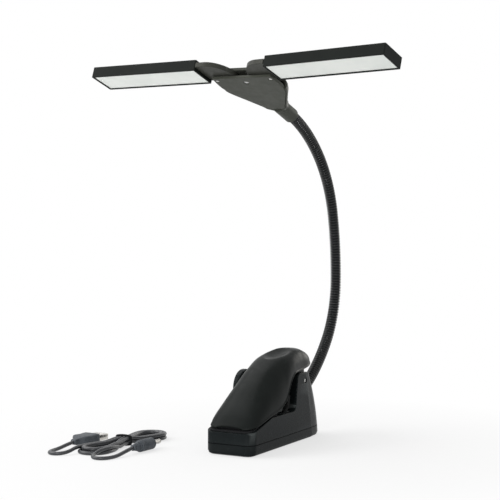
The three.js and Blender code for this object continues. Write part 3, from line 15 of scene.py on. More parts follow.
import bmesh
import bpy
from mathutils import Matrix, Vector


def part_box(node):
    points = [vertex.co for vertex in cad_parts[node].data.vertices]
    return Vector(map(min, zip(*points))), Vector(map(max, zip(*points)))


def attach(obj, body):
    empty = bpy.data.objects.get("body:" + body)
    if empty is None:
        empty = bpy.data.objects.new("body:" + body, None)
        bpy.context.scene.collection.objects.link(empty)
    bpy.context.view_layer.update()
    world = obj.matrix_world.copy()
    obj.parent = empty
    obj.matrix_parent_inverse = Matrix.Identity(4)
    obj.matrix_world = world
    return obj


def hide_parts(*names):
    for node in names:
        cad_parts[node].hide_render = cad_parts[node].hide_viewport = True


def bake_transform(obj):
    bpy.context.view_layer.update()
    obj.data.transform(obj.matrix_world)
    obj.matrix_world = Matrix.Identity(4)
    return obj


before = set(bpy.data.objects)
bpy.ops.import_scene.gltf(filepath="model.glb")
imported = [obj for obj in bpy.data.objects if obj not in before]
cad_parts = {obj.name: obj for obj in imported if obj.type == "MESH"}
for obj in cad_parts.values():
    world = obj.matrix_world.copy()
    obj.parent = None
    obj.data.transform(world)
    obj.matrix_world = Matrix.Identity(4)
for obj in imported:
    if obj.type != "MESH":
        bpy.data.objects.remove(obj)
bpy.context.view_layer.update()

MM = 0.001

log = logging.getLogger("reading_lamp")

Point = tuple[float, float, float]
Pair = tuple[float, float]
RadiusRule = Callable[[float, float, float], float]


def smooth(value: float) -> float:
    """Eases a value from 0 to 1 with level ends, and holds it there outside."""
    t = min(1.0, max(0.0, value))
    return t * t * (3 - 2 * t)


def between(low: float, high: float, share: float) -> float:
    """Gives the number that lies a share of the way from low to high."""
    return low + (high - low) * share


def linear(channel: int) -> float:
    """Turns one 0 to 255 display channel into the linear value that shaders use."""
    c = channel / 255
    return c / 12.92 if c <= 0.04045 else ((c + 0.055) / 1.055) ** 2.4


def shade(red: int, green: int, blue: int) -> tuple[float, float, float, float]:
    """Gives the linear colour, with full alpha, of a display colour."""
    return (linear(red), linear(green), linear(blue), 1.0)


# ---------------------------------------------------------------------------
# Finishes
# ---------------------------------------------------------------------------

LAYER_ROUGHNESS = 0.55          # how strongly the finer layers of a noise show
PATCH_SPAN = (0.35, 0.65)       # noise at which the colour is the first tone and the second
GLOSS_SPAN = (0.3, 0.7)         # noise at which the surface is glossiest and dullest
GLOSS_PATCHES = 4               # patches of gloss to one patch of colour
WEAR_AND_SHEEN_SPAN = (0.53, 0.62)        # sharpness at which an edge begins to lighten and is fully light: partly wear, partly a painted highlight
UPWARD_SPAN = (-0.25, 0.05)     # upward share of the normal at which the lightening begins and is full, where the light from above would catch the edge
RELIEF_STRENGTH = 0.6
EDGE_SAMPLES = 6
SCATTER_REACH = 2.0             # how far light spreads inside a diffuser, in millimetres


class Texture(Enum):
    """How the fine relief of a surface runs."""

    GRAIN = "grain"
    BRUSHED = "brushed"
    RIBBED = "ribbed"
    FROSTED = "frosted"


class NodeBoard:
    """A material's node tree, with short calls for adding and joining nodes."""

    def __init__(self, name: str) -> None:
        """Makes an empty material of that name, with its output and its places on the surface.

        Args:
            name: The material's name.
        """
        self.material = bpy.data.materials.new(name)
        self.material.use_nodes = True
        self.tree = self.material.node_tree
        self.tree.nodes.clear()
        self.output = self.tree.nodes.new("ShaderNodeOutputMaterial")
        self.place = self.tree.nodes.new("ShaderNodeTexCoord").outputs["Object"]

    def add(self, kind: str, settings: dict[str, object] | None = None, **inputs: object) -> bpy.types.Node:
        """Adds a node, and sets or joins its inputs.

        Args:
            kind: The node's Blender type.
            settings: Properties of the node itself, by name.
            **inputs: Values or sockets for its inputs, with _ for a space.

        Returns:
            The new node.
        """
        node = self.tree.nodes.new(kind)
        for key, value in (settings or {}).items():
            setattr(node, key, value)
        for key, value in inputs.items():
            socket = node.inputs[key.replace("_", " ")]
            if isinstance(value, bpy.types.NodeSocket):
                self.tree.links.new(value, socket)
            else:
                socket.default_value = value
        return node

    def noise(
        self, size: float, detail: float = 2.0, stretch: Point = (1.0, 1.0, 1.0),
    ) -> bpy.types.NodeSocket:
        """Gives noise whose patches are about size millimetres across.

        Args:
            size: The width of a patch, in millimetres.
            detail: How many finer layers lie on it.
            stretch: How much faster it changes along each axis.

        Returns:
            The noise's factor socket.
        """
        place = self.place
        if stretch != (1.0, 1.0, 1.0):
            place = self.add("ShaderNodeMapping", Vector=place, Scale=stretch).outputs["Vector"]
        node = self.add(
            "ShaderNodeTexNoise",
            Vector=place, Scale=1 / (size * MM), Detail=detail, Roughness=LAYER_ROUGHNESS,
        )
        return node.outputs["Fac"]

    def ranged(
        self, value: bpy.types.NodeSocket, span: Pair, goal: Pair = (0.0, 1.0),
    ) -> bpy.types.NodeSocket:
        """Maps a value between two limits on to two others, and holds it there outside.

        Args:
            value: The socket of the value.
            span: The value's two limits.
            goal: What they become.

        Returns:
            The mapped value's socket.
        """
        node = self.add(
            "ShaderNodeMapRange",
            Value=value, From_Min=span[0], From_Max=span[1], To_Min=goal[0], To_Max=goal[1],
        )
        return node.outputs["Result"]

    def combined(self, operation: str, *values: bpy.types.NodeSocket) -> bpy.types.NodeSocket:
        """Joins two values by a sum, product or the like.

        Args:
            operation: Blender's name for it.
            *values: The sockets of the values.

        Returns:
            The result's socket.
        """
        node = self.add("ShaderNodeMath", {"operation": operation})
        for socket, value in zip(node.inputs, values):
            self.tree.links.new(value, socket)
        return node.outputs["Value"]

    def mix(self, share: bpy.types.NodeSocket, first: object, second: object) -> bpy.types.NodeSocket:
        """Mixes two colours by a share.

        Args:
            share: The socket of the second colour's share.
            first: The first colour, or its socket.
            second: The second colour, or its socket.

        Returns:
            The mixed colour's socket.
        """
        node = self.add("ShaderNodeMix", {"data_type": "RGBA"}, Factor=share)
        colour_inputs = [socket for socket in node.inputs if socket.type == "RGBA"]
        for socket, value in zip(colour_inputs, (first, second)):
            if isinstance(value, bpy.types.NodeSocket):
                self.tree.links.new(value, socket)
            else:
                socket.default_value = value
        return next(socket for socket in node.outputs if socket.type == "RGBA")

    def finish(self, shader: bpy.types.Node) -> bpy.types.Material:
        """Joins the shader to the output and returns the material."""
        self.tree.links.new(shader.outputs[0], self.output.inputs["Surface"])
        return self.material


@dataclass(frozen=True)
class Finish:
    """One finish of the lamp: its colour, its gloss and its fine relief.

    The colour drifts between colour and tone over patches, and sharp upward
    edges lighten to edge: partly wear, partly a painted highlight where light
    from above catches them. The relief is relief_depth high and relief_size across.
    """

    name: str
    colour: tuple[int, int, int]
    tone: tuple[int, int, int]
    edge: tuple[int, int, int] | None = None
    roughness: float = 0.45
    roughness_spread: float = 0.06
    specular: float = 0.3
    metallic: float = 0.0
    coat: float = 0.0
    coat_roughness: float = 0.2
    patch: float = 22.0
    texture: Texture = Texture.GRAIN
    relief_size: float = 0.35
    relief_depth: float = 0.012
    axis: Point = (1.0, 1.0, 1.0)
    subsurface: float = 0.0
    soft_edge: float = 0.4

    def material(self) -> bpy.types.Material:
        """Gives the finish's material, made the first time that it is asked for."""
        known = bpy.data.materials.get(f"finish_{self.name}")
        return known if known else self._made()

    def _relief(self, board: NodeBoard) -> bpy.types.NodeSocket:
        """Makes the fine relief.

        Args:
            board: The material's nodes.

        Returns:
            The socket of its height.
        """
        if self.texture is Texture.BRUSHED:
            return board.noise(self.relief_size, 3.0, self.axis)
        if self.texture is Texture.FROSTED:
            return board.noise(self.relief_size, 5.0)
        if self.texture is Texture.RIBBED:
            # A wave node's bands are pi / (10 * Scale) apart.
            wave = board.add(
                "ShaderNodeTexWave", {"bands_direction": "Y", "wave_profile": "SIN"},
                Vector=board.place, Scale=math.pi / (10 * self.relief_size * MM), Distortion=0.0,
            )
            return wave.outputs["Fac"]
        return board.noise(self.relief_size, 2.0)

    def _made(self) -> bpy.types.Material:
        """Builds the material's nodes.

        Returns:
            The material.
        """
        board = NodeBoard(f"finish_{self.name}")
        patches = board.ranged(board.noise(self.patch, 3.0), PATCH_SPAN)
        colour = board.mix(patches, shade(*self.colour), shade(*self.tone))
        # Sharp upward edges lighten towards the edge colour: partly wear, partly a painted highlight.
        if self.edge:
            surface = board.add("ShaderNodeNewGeometry")
            wear_and_sheen = board.ranged(surface.outputs["Pointiness"], WEAR_AND_SHEEN_SPAN)
            upward = board.add("ShaderNodeSeparateXYZ", Vector=surface.outputs["Normal"]).outputs["Z"]
            share = board.combined("MULTIPLY", wear_and_sheen, board.ranged(upward, UPWARD_SPAN))
            colour = board.mix(share, colour, shade(*self.edge))
        gloss = board.ranged(
            board.noise(self.patch / GLOSS_PATCHES, 4.0), GLOSS_SPAN,
            (self.roughness - self.roughness_spread, self.roughness + self.roughness_spread),
        )
        bump = board.add(
            "ShaderNodeBump",
            Strength=RELIEF_STRENGTH, Distance=self.relief_depth * MM, Height=self._relief(board),
        )
        if self.soft_edge:
            eased = board.add("ShaderNodeBevel", {"samples": EDGE_SAMPLES}, Radius=self.soft_edge * MM)
            board.tree.links.new(eased.outputs["Normal"], bump.inputs["Normal"])
        shader = board.add(
            "ShaderNodeBsdfPrincipled",
            Base_Color=colour, Roughness=gloss, Normal=bump.outputs["Normal"], Metallic=self.metallic,
        )
        shader.inputs["Specular IOR Level"].default_value = self.specular
        shader.inputs["Coat Weight"].default_value = self.coat
        shader.inputs["Coat Roughness"].default_value = self.coat_roughness
        if self.subsurface:
            shader.inputs["Subsurface Weight"].default_value = self.subsurface
            shader.inputs["Subsurface Scale"].default_value = SCATTER_REACH * MM
            shader.inputs["Subsurface Radius"].default_value = (1.0, 1.0, 1.0)
        return board.finish(shader)


LEVER_SATIN = Finish(
    "lever_satin", (24, 27, 26), (27, 30, 29), edge=(50, 52, 50), roughness=0.34, specular=0.05,
    relief_size=0.3, relief_depth=0.006, soft_edge=0.9,
)
# Its light edge colour is partly wear and mostly a painted highlight on the nose's top edge and the ears'
# corners.
CASING_SATIN = Finish(
    "casing_satin", (23, 27, 28), (26, 30, 31), edge=(76, 80, 80), roughness=0.28, specular=0.045,
    relief_size=0.4, relief_depth=0.004, soft_edge=1.0,
)
TRAY_SATIN = Finish(
    "tray_satin", (23, 27, 28), (26, 30, 31), edge=(36, 39, 39), roughness=0.3, specular=0.045,
    relief_size=0.4, relief_depth=0.005, soft_edge=0.9,
)
SEAM_SHADE = Finish(
    "seam_shade", (9, 10, 11), (12, 13, 14), roughness=0.8, specular=0.03,
    relief_size=0.3, relief_depth=0.004, soft_edge=0.0,
)
HUB_MATT = Finish(
    "hub_matt", (60, 62, 56), (65, 67, 61), edge=(88, 90, 82), roughness=0.5, specular=0.12,
    relief_size=0.3, relief_depth=0.012, soft_edge=0.5,
)
ARM_SATIN = Finish(
    "arm_satin", (50, 51, 47), (55, 56, 51), edge=(84, 84, 78), roughness=0.42, specular=0.12,
    relief_size=0.3, relief_depth=0.01, soft_edge=0.6,
)
PANEL_SATIN = Finish(
    "panel_satin", (21, 24, 23), (25, 28, 26), edge=(58, 60, 57), roughness=0.42, specular=0.04,
    relief_size=0.35, relief_depth=0.004, soft_edge=0.5,
)
JAW_RUBBER = Finish(
    "jaw_rubber", (17, 18, 20), (21, 22, 24), roughness=0.82, specular=0.2,
    texture=Texture.RIBBED, relief_size=1.6, relief_depth=0.25,
)
BUTTON_RUBBER = Finish(
    "button_rubber", (26, 27, 28), (30, 31, 32), edge=(52, 53, 52), roughness=0.6, specular=0.28,
    relief_size=0.5, relief_depth=0.02,
)
NECK_COATING = Finish(
    "neck_coating", (12, 14, 15), (16, 18, 19), edge=(60, 64, 65), roughness=0.16, roughness_spread=0.03,
    specular=0.34, patch=6.0, relief_size=0.25, relief_depth=0.01, soft_edge=0.0,
)
DIFFUSER_WHITE = Finish(
    "diffuser_white", (229, 232, 228), (221, 225, 221), roughness=0.55, specular=0.15, patch=24.0,
    texture=Texture.FROSTED, relief_size=0.2, relief_depth=0.003, subsurface=0.1,
)
LED_LAMINATE = Finish(
    "led_laminate", (222, 224, 216), (212, 214, 206), roughness=0.5, specular=0.4,
)
CIRCUIT_GREEN = Finish(
    "circuit_green", (26, 84, 48), (34, 98, 56), roughness=0.4, specular=0.5, patch=5.0,
)
SOCKET_BLACK = Finish(
    "socket_black", (20, 21, 22), (26, 27, 28), roughness=0.5, specular=0.3,
)
STEEL_PIN = Finish(
    "steel_pin", (205, 205, 202), (178, 178, 175), roughness=0.26, metallic=1.0, specular=0.5,
    patch=3.0, texture=Texture.BRUSHED, relief_size=0.6, relief_depth=0.006, axis=(1.0, 6.0, 6.0),
)
STEEL_SCREW = Finish(
    "steel_screw", (190, 190, 188), (150, 151, 152), roughness=0.32, metallic=1.0, specular=0.5,
    patch=2.0, texture=Texture.BRUSHED, relief_size=0.5, relief_depth=0.008, axis=(4.0, 4.0, 1.0),
)
SPRING_STEEL = Finish(
    "spring_steel", (150, 150, 148), (120, 121, 121), roughness=0.35, metallic=1.0, specular=0.5,
    patch=4.0, texture=Texture.BRUSHED, relief_size=0.4, relief_depth=0.006, axis=(6.0, 1.0, 1.0),
)
CONTACT_NICKEL = Finish(
    "contact_nickel", (196, 194, 186), (176, 174, 166), roughness=0.3, metallic=1.0, specular=0.5,
    patch=4.0, texture=Texture.BRUSHED, relief_size=0.5, relief_depth=0.006, axis=(1.0, 1.0, 5.0),
)
CELL_SLEEVE = Finish(
    "cell_sleeve", (120, 126, 132), (132, 138, 143), roughness=0.3, specular=0.5, coat=0.3, patch=12.0,
)
LEAD_JACKET = Finish(
    "lead_jacket", (38, 40, 43), (46, 48, 52), roughness=0.38, specular=0.42, coat=0.2, coat_roughness=0.3,
    patch=9.0, relief_size=0.8, relief_depth=0.012,
)
PLUG_VINYL = Finish(
    "plug_vinyl", (60, 65, 70), (66, 71, 77), edge=(92, 97, 103), roughness=0.55, specular=0.35, patch=7.0,
    relief_size=0.3, relief_depth=0.012,
)
PLUG_STEEL = Finish(
    "plug_steel", (206, 204, 199), (186, 183, 177), roughness=0.24, metallic=1.0, specular=0.5, patch=5.0,
    texture=Texture.BRUSHED, relief_size=0.5, relief_depth=0.005, axis=(7.0, 1.0, 7.0),
)
PLUG_INSULATOR = Finish(
    "plug_insulator", (226, 226, 222), (214, 214, 208), roughness=0.5, specular=0.4, patch=4.0,
)


# ---------------------------------------------------------------------------
# Shared mesh work
# ---------------------------------------------------------------------------

SHARP_DEGREES = 32.0            # an edge that turns further than this stays sharp
ROUNDING_DEGREES = 38.0         # an edge that turns further than this is rounded
ROUNDING_SEGMENTS = 2
WELD_REACH = 0.002              # corners nearer than this are one

DressRow = tuple[str, Finish, float]


def placed(name: str, data: bpy.types.ID) -> bpy.types.Object:
    """Makes an object and links it to the scene.

    Args:
        name: The object's name.
        data: Its mesh, curve, light or camera.

    Returns:
        The new object.
    """
    made = bpy.data.objects.new(name, data)
    bpy.context.scene.collection.objects.link(made)
    log.info("%s made", name)
    return made


def mesh_object(
    name: str, points: Sequence[Vector], faces: Sequence[Sequence[int]], finish: Finish,
) -> bpy.types.Object:
    """Makes a smooth-shaded object from points in metres.

    Args:
        name: The piece's name.
        points: Its corner points.
        faces: The indices of each face's corners, anticlockwise from outside.
        finish: Its finish.

    Returns:
        The new object, linked to the scene.
    """
    mesh = bpy.data.meshes.new(name)
    mesh.from_pydata([tuple(p) for p in points], [], [tuple(f) for f in faces])
    mesh.validate()
    for face in mesh.polygons:
        face.use_smooth = True
    mesh.materials.append(finish.material())
    return placed(name, mesh)


def ring_faces(rings: int, sides: int) -> list[tuple[int, ...]]:
    """Gives the faces between rings of points, with a cap at each end.

    Args:
        rings: How many rings there are.
        sides: How many points each ring has.

    Returns:
        The faces as tuples of indices, ring by ring.
    """
    faces: list[tuple[int, ...]] = []
    for i in range(rings - 1):
        for k in range(sides):
            a, b = i * sides + k, i * sides + (k + 1) % sides
            faces.append((a, b, b + sides, a + sides))
    faces.append(tuple(reversed(range(sides))))
    faces.append(tuple((rings - 1) * sides + k for k in range(sides)))
    return faces


def loop_faces(rings: int, sides: int) -> list[tuple[int, ...]]:
    """Gives the faces between rings of points whose last ring meets the first.

    Args:
        rings: How many rings there are.
        sides: How many points each ring has.

    Returns:
        The faces as tuples of indices, ring by ring.
    """
    return [
        (i * sides + k, i * sides + (k + 1) % sides,
         ((i + 1) % rings) * sides + (k + 1) % sides, ((i + 1) % rings) * sides + k)
        for i in range(rings) for k in range(sides)
    ]


def lathe_rings(profile: Sequence[Pair], sides: int, radius_at: RadiusRule | None = None) -> list[Vector]:
    """Gives the rings of a piece turned about the Y axis, in millimetres.

    Args:
        profile: Pairs of distance along the axis and radius.
        sides: How many points each ring has.
        radius_at: Changes the radius by distance, radius and angle.

    Returns:
        The points, ring by ring.
    """
    points = []
    for along, radius in profile:
        for k in range(sides):
            angle = -2 * math.pi * k / sides
            r = radius_at(along, radius, angle) if radius_at else radius
            points.append(Vector((r * math.cos(angle), along, r * math.sin(angle))))
    return points


@dataclass(frozen=True)
class Knots:
    """A smooth curve through pairs of station and value that never overshoots them."""

    rows: tuple[Pair, ...]

    def at(self, x: float) -> float:
        """Gives the value at a station.

        Args:
            x: The station, held to the first and last.

        Returns:
            The value there.
        """
        xs, ys = [r[0] for r in self.rows], [r[1] for r in self.rows]
        n = len(xs)
        x = min(max(x, xs[0]), xs[-1])
        i = max(k for k in range(n - 1) if xs[k] <= x)
        slopes = [(ys[k + 1] - ys[k]) / (xs[k + 1] - xs[k]) for k in range(n - 1)]

        def lean(k: int) -> float:
            """Gives the curve's slope at a knot.

            Args:
                k: The knot's number.

            Returns:
                The slope there.
            """
            if k in (0, n - 1):
                return slopes[0] if k == 0 else slopes[-1]
            a, b = slopes[k - 1], slopes[k]
            return 0.0 if a * b <= 0 else 2 * a * b / (a + b)

        h = xs[i + 1] - xs[i]
        t = (x - xs[i]) / h
        return (
            ys[i] * (1 + 2 * t) * (1 - t) ** 2 + h * lean(i) * t * (1 - t) ** 2
            + ys[i + 1] * t * t * (3 - 2 * t) + h * lean(i + 1) * t * t * (t - 1)
        )


def soft_shading() -> bpy.types.NodeTree:
    """Gives the modifier nodes that shade a mesh smooth, except across its sharp edges.

    Returns:
        The node group, made the first time that it is asked for.
    """
    known = bpy.data.node_groups.get("soft_shading")
    if known:
        return known
    tree = bpy.data.node_groups.new("soft_shading", "GeometryNodeTree")
    tree.interface.new_socket("Geometry", in_out="INPUT", socket_type="NodeSocketGeometry")
    tree.interface.new_socket("Geometry", in_out="OUTPUT", socket_type="NodeSocketGeometry")
    start, end = tree.nodes.new("NodeGroupInput"), tree.nodes.new("NodeGroupOutput")
    angle = tree.nodes.new("GeometryNodeInputMeshEdgeAngle")
    gentle = tree.nodes.new("FunctionNodeCompare")
    gentle.operation = "LESS_THAN"
    gentle.inputs["B"].default_value = math.radians(SHARP_DEGREES)
    faces = tree.nodes.new("GeometryNodeSetShadeSmooth")
    edges = tree.nodes.new("GeometryNodeSetShadeSmooth")
    edges.domain = "EDGE"
    tree.links.new(angle.outputs["Unsigned Angle"], gentle.inputs["A"])
    tree.links.new(start.outputs[0], faces.inputs["Geometry"])
    tree.links.new(faces.outputs[0], edges.inputs["Geometry"])
    tree.links.new(gentle.outputs[0], edges.inputs["Shade Smooth"])
    tree.links.new(edges.outputs[0], end.inputs[0])
    return tree


def round_edges(piece: bpy.types.Object, width: float) -> None:
    """Rounds a piece's sharp edges.

    Args:
        piece: The piece.
        width: The width of the rounding.
    """
    bevel = piece.modifiers.new("rounding", "BEVEL")
    bevel.width = width * MM
    bevel.segments = ROUNDING_SEGMENTS
    bevel.limit_method = "ANGLE"
    bevel.angle_limit = math.radians(ROUNDING_DEGREES)
    bevel.use_clamp_overlap = True


def shade_softly(piece: bpy.types.Object) -> None:
    """Shades a piece smooth, except across its sharp edges."""
    piece.modifiers.new("soft_shading", "NODES").node_group = soft_shading()


def dress_node(name: str, finish: Finish, rounding: float = 0.0) -> None:
    """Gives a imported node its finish, softly rounded edges and smooth shading.

    Args:
        name: The node's name.
        finish: Its finish.
        rounding: The width of the bevel on its sharp edges, 0 for none.
    """
    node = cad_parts[name]
    for held in node.material_slots:
        held.link = "OBJECT"
        held.material = finish.material()
    weld = node.modifiers.new("weld", "WELD")
    weld.merge_threshold = WELD_REACH * MM
    if rounding:
        round_edges(node, rounding)
    shade_softly(node)
    even = node.modifiers.new("even_normals", "WEIGHTED_NORMAL")
    even.keep_sharp = True
    log.info("node %s: finish %s, rounding %.2f mm", name, finish.name, rounding)


# ---------------------------------------------------------------------------
# Camera
# ---------------------------------------------------------------------------


@dataclass
class Camera:
    """The studio camera, level with the middle of the lamp."""

    place: Point = (434.037, -778.834, 150.74)
    turn: float = 30.0
    lens: float = 82.656
    sensor: float = 36.0
    clip: Pair = (20.0, 60000.0)

    def build(self) -> None:
        """Makes the camera and sets the scene to look through it."""
        data = bpy.data.cameras.new("studio_camera")
        data.lens = self.lens
        data.sensor_width = self.sensor
        data.clip_start, data.clip_end = (limit * MM for limit in self.clip)
        camera = placed("studio_camera", data)
        camera.location = Vector(self.place) * MM
        camera.rotation_euler = (math.pi / 2, 0, math.radians(self.turn))
        bpy.context.scene.camera = camera


# ---------------------------------------------------------------------------
# Charging lead
# ---------------------------------------------------------------------------


@dataclass
class BarrelPlug:
    """The lead's round plug: a moulded grip with a slotted relief, and a hollow steel barrel.

    Its axis runs along Y, away from the end of the lead.
    """

    fit_gap: float = 0.3
    grip_radius: float = 4.5
    relief_length: float = 7.5
    relief_radius: float = 3.5
    relief_tail: float = 2.3
    relief_slots: tuple[float, ...] = (1.2, 3.3, 5.4)
    slot_width: float = 1.2
    slot_depth: float = 0.85
    slot_edge: float = 0.25
    slot_opening: float = 0.35
    slot_taper: float = 0.15
    grip_length: float = 17.0
    grip_shoulder: float = 1.0
    grip_nose: float = 0.9
    groove_pitch: float = 0.95
    groove_depth: float = 0.22
    groove_count: int = 5
    groove_start: float = 2.6
    barrel_length: float = 9.7
    collar_radius: float = 2.4
    barrel_radius: float = 1.8
    bore_radius: float = 0.99

    def _plain_grip(self, along: float) -> float:
        """Gives the radius of the grip before it is carved.

        Args:
            along: The distance from the tail of its relief.

        Returns:
            The radius there.
        """
        if along < self.relief_length:
            return between(self.relief_tail, self.relief_radius, smooth(along / self.relief_length))
        shoulder = smooth((along - self.relief_length) / self.grip_shoulder)
        radius = between(self.relief_radius, self.grip_radius, shoulder)
        nose = self.relief_length + self.grip_length - along
        if nose < self.grip_nose:
            radius -= self.grip_nose * (1 - math.sqrt(max(0.0, 1 - (1 - nose / self.grip_nose) ** 2)))
        return radius

    def _carved_grip(self, along: float, radius: float, angle: float) -> float:
        """Cuts the grip's grooves and the slots of its relief.

        Args:
            along: The distance from the tail of the relief.
            radius: The plain radius there.
            angle: The place round the axis.

        Returns:
            The radius that is left.
        """
        into = along - self.relief_length - self.groove_start
        if 0 <= into <= self.groove_count * self.groove_pitch:
            radius -= self.groove_depth * max(0.0, math.cos(2 * math.pi * into / self.groove_pitch)) ** 3
        for row, start in enumerate(self.relief_slots):
            end = start + self.slot_width
            inside = smooth((along - start) / self.slot_edge) * smooth((end - along) / self.slot_edge)
            phase = angle + row * math.pi / 2
            beside = smooth((abs(math.cos(phase)) - self.slot_opening) / self.slot_taper)
            radius -= self.slot_depth * inside * beside
        return radius

    def grip(self, end: Vector) -> bpy.types.Object:
        """Makes the moulded grip, with its grooves and slotted relief.

        Args:
            end: The end of the lead, in metres.

        Returns:
            The new object.
        """
        count, sides = 120, 40
        step = (self.relief_length + self.grip_length) / count
        profile = [(step * i, self._plain_grip(step * i)) for i in range(count + 1)]
        start = end + Vector((0, self.fit_gap, 0)) * MM
        points = [start + p * MM for p in lathe_rings(profile, sides, self._carved_grip)]
        return mesh_object("barrel_plug_grip", points, ring_faces(count + 1, sides), PLUG_VINYL)

    def barrel(self, end: Vector) -> bpy.types.Object:
        """Makes the hollow steel barrel with the rolled lip of its bore.

        Args:
            end: The end of the lead, in metres.

        Returns:
            The new object.
        """
        length = self.barrel_length
        collar, r, bore = self.collar_radius, self.barrel_radius, self.bore_radius
        profile = [
            (0.0, collar), (0.5, collar), (0.6, collar - 0.1), (0.62, r),
            (length - 1.6, r), (length - 1.5, r - 0.12), (length - 1.25, r - 0.12),
            (length - 1.15, r), (length - 0.25, r), (length, r - 0.22), (length, bore + 0.15),
            (length - 0.2, bore), (length - 6, bore),
        ]
        sides = 32
        start = end + Vector((0, 2 * self.fit_gap + self.relief_length + self.grip_length, 0)) * MM
        points = [start + p * MM for p in lathe_rings(profile, sides)]
        return mesh_object("barrel_plug_tip", points, ring_faces(len(profile), sides), PLUG_STEEL)


@dataclass
class UsbPlug:
    """The lead's flat plug: a moulded grip, a folded steel shell and the tongue inside it.

    Its axis runs along Y, away from the end of the lead.
    """

    fit_gap: float = 0.3
    body: Point = (15.4, 19.0, 8.0)
    tail: float = 5.0
    squareness: float = 0.28
    shell: Point = (12.0, 12.0, 4.5)
    wall: float = 0.35
    rounding: float = 0.18
    window_half: float = 1.15
    window_place: Pair = (2.6, 6.2)
    tongue_gap: float = 0.35
    tongue_lift: float = 0.15
    tongue_top: float = -0.1
    tongue_ends: Pair = (0.4, 0.6)
    tongue_rounding: float = 0.2

    def grip(self, end: Vector) -> bpy.types.Object:
        """Makes the moulded body, with its waisted tail and finger hollows.

        Args:
            end: The end of the lead, in metres.

        Returns:
            The new object.
        """
        width, length, height = self.body
        tail = self.tail
        stations = [
            (0.0, 4.2, 3.8), (1.0, 4.6, 4.2), (tail - 0.4, 5.0, 4.6), (tail, 5.6, 5.0),
            (tail + 1.2, 9.4, 6.4), (tail + 3.2, width - 1.6, height - 0.5),
            (tail + 4.6, width - 0.2, height), (tail + 7, width, height),
            (tail + 10, width - 0.5, height - 0.35), (tail + 13, width - 0.5, height - 0.35),
            (tail + 16, width, height), (tail + length - 0.9, width, height),
            (tail + length - 0.3, width - 0.5, height - 0.5), (tail + length, width - 1.5, height - 1.5),
        ]
        sides = 40
        points = []
        start = end + Vector((0, self.fit_gap, 0)) * MM
        for along, w, h in stations:
            for k in range(sides):
                angle = -2 * math.pi * k / sides
                c, s = math.cos(angle), math.sin(angle)
                x = math.copysign(abs(c) ** self.squareness, c) * w / 2
                z = math.copysign(abs(s) ** self.squareness, s) * h / 2
                points.append(start + Vector((x, along, z)) * MM)
        return mesh_object("usb_plug_grip", points, ring_faces(len(stations), sides), PLUG_VINYL)

    def _front(self, end: Vector) -> Vector:
        """Gives the middle of the grip's front face, in metres, from the end of the lead."""
        return end + Vector((0, 2 * self.fit_gap + self.tail + self.body[1], 0)) * MM

    def case(self, end: Vector) -> bpy.types.Object:
        """Makes the folded steel shell, with two square windows in each face.

        Args:
            end: The end of the lead, in metres.

        Returns:
            The new object.
        """
        width, length, height = self.shell
        half, (across, along) = self.window_half, self.window_place
        xs = [-width / 2, -across - half, -across + half, across - half, across + half, width / 2]
        ys = [0.0, along - half, along + half, length]
        window_columns, window_row = (1, 3), 1
        near = 1e-4
        shell = bmesh.new()
        for z in (height / 2, -height / 2):
            grid = [[shell.verts.new((x, y, z)) for y in ys] for x in xs]
            for i in range(len(xs) - 1):
                for j in range(len(ys) - 1):
                    if j == window_row and i in window_columns:
                        continue
                    shell.faces.new((grid[i][j], grid[i + 1][j], grid[i + 1][j + 1], grid[i][j + 1]))
        bmesh.ops.remove_doubles(shell, verts=shell.verts, dist=near)
        sides = [v for v in shell.verts if abs(abs(v.co.x) - width / 2) < near]
        for sign in (-1, 1):
            edge = sorted((v for v in sides if v.co.x * sign > 0), key=lambda v: (v.co.y, v.co.z))
            for j in range(len(ys) - 1):
                shell.faces.new((edge[2 * j], edge[2 * j + 1], edge[2 * j + 3], edge[2 * j + 2]))
        bmesh.ops.recalc_face_normals(shell, faces=shell.faces)
        start = self._front(end)
        for v in shell.verts:
            v.co = start + v.co * MM
        mesh = bpy.data.meshes.new("usb_plug_steel")
        shell.to_mesh(mesh)
        shell.free()
        mesh.materials.append(PLUG_STEEL.material())
        case = placed("usb_plug_steel", mesh)
        thick = case.modifiers.new("wall", "SOLIDIFY")
        thick.thickness = self.wall * MM
        thick.offset = -1
        round_edges(case, self.rounding)
        shade_softly(case)
        return case

    def tongue(self, end: Vector) -> bpy.types.Object:
        """Makes the plastic tongue that lies in the lower part of the shell.

        Args:
            end: The end of the lead, in metres.

        Returns:
            The new object.
        """
        width, length, height = self.shell
        x = width / 2 - self.wall - self.tongue_gap
        low, high = -height / 2 + self.wall + self.tongue_lift, self.tongue_top
        start = self._front(end)
        points = []
        for y in (self.tongue_ends[0], length - self.tongue_ends[1]):
            for corner in ((-x, low), (x, low), (x, high), (-x, high)):
                points.append(start + Vector((corner[0], y, corner[1])) * MM)
        tongue = mesh_object("usb_plug_tongue", points, ring_faces(2, 4), PLUG_INSULATOR)
        round_edges(tongue, self.tongue_rounding)
        return tongue


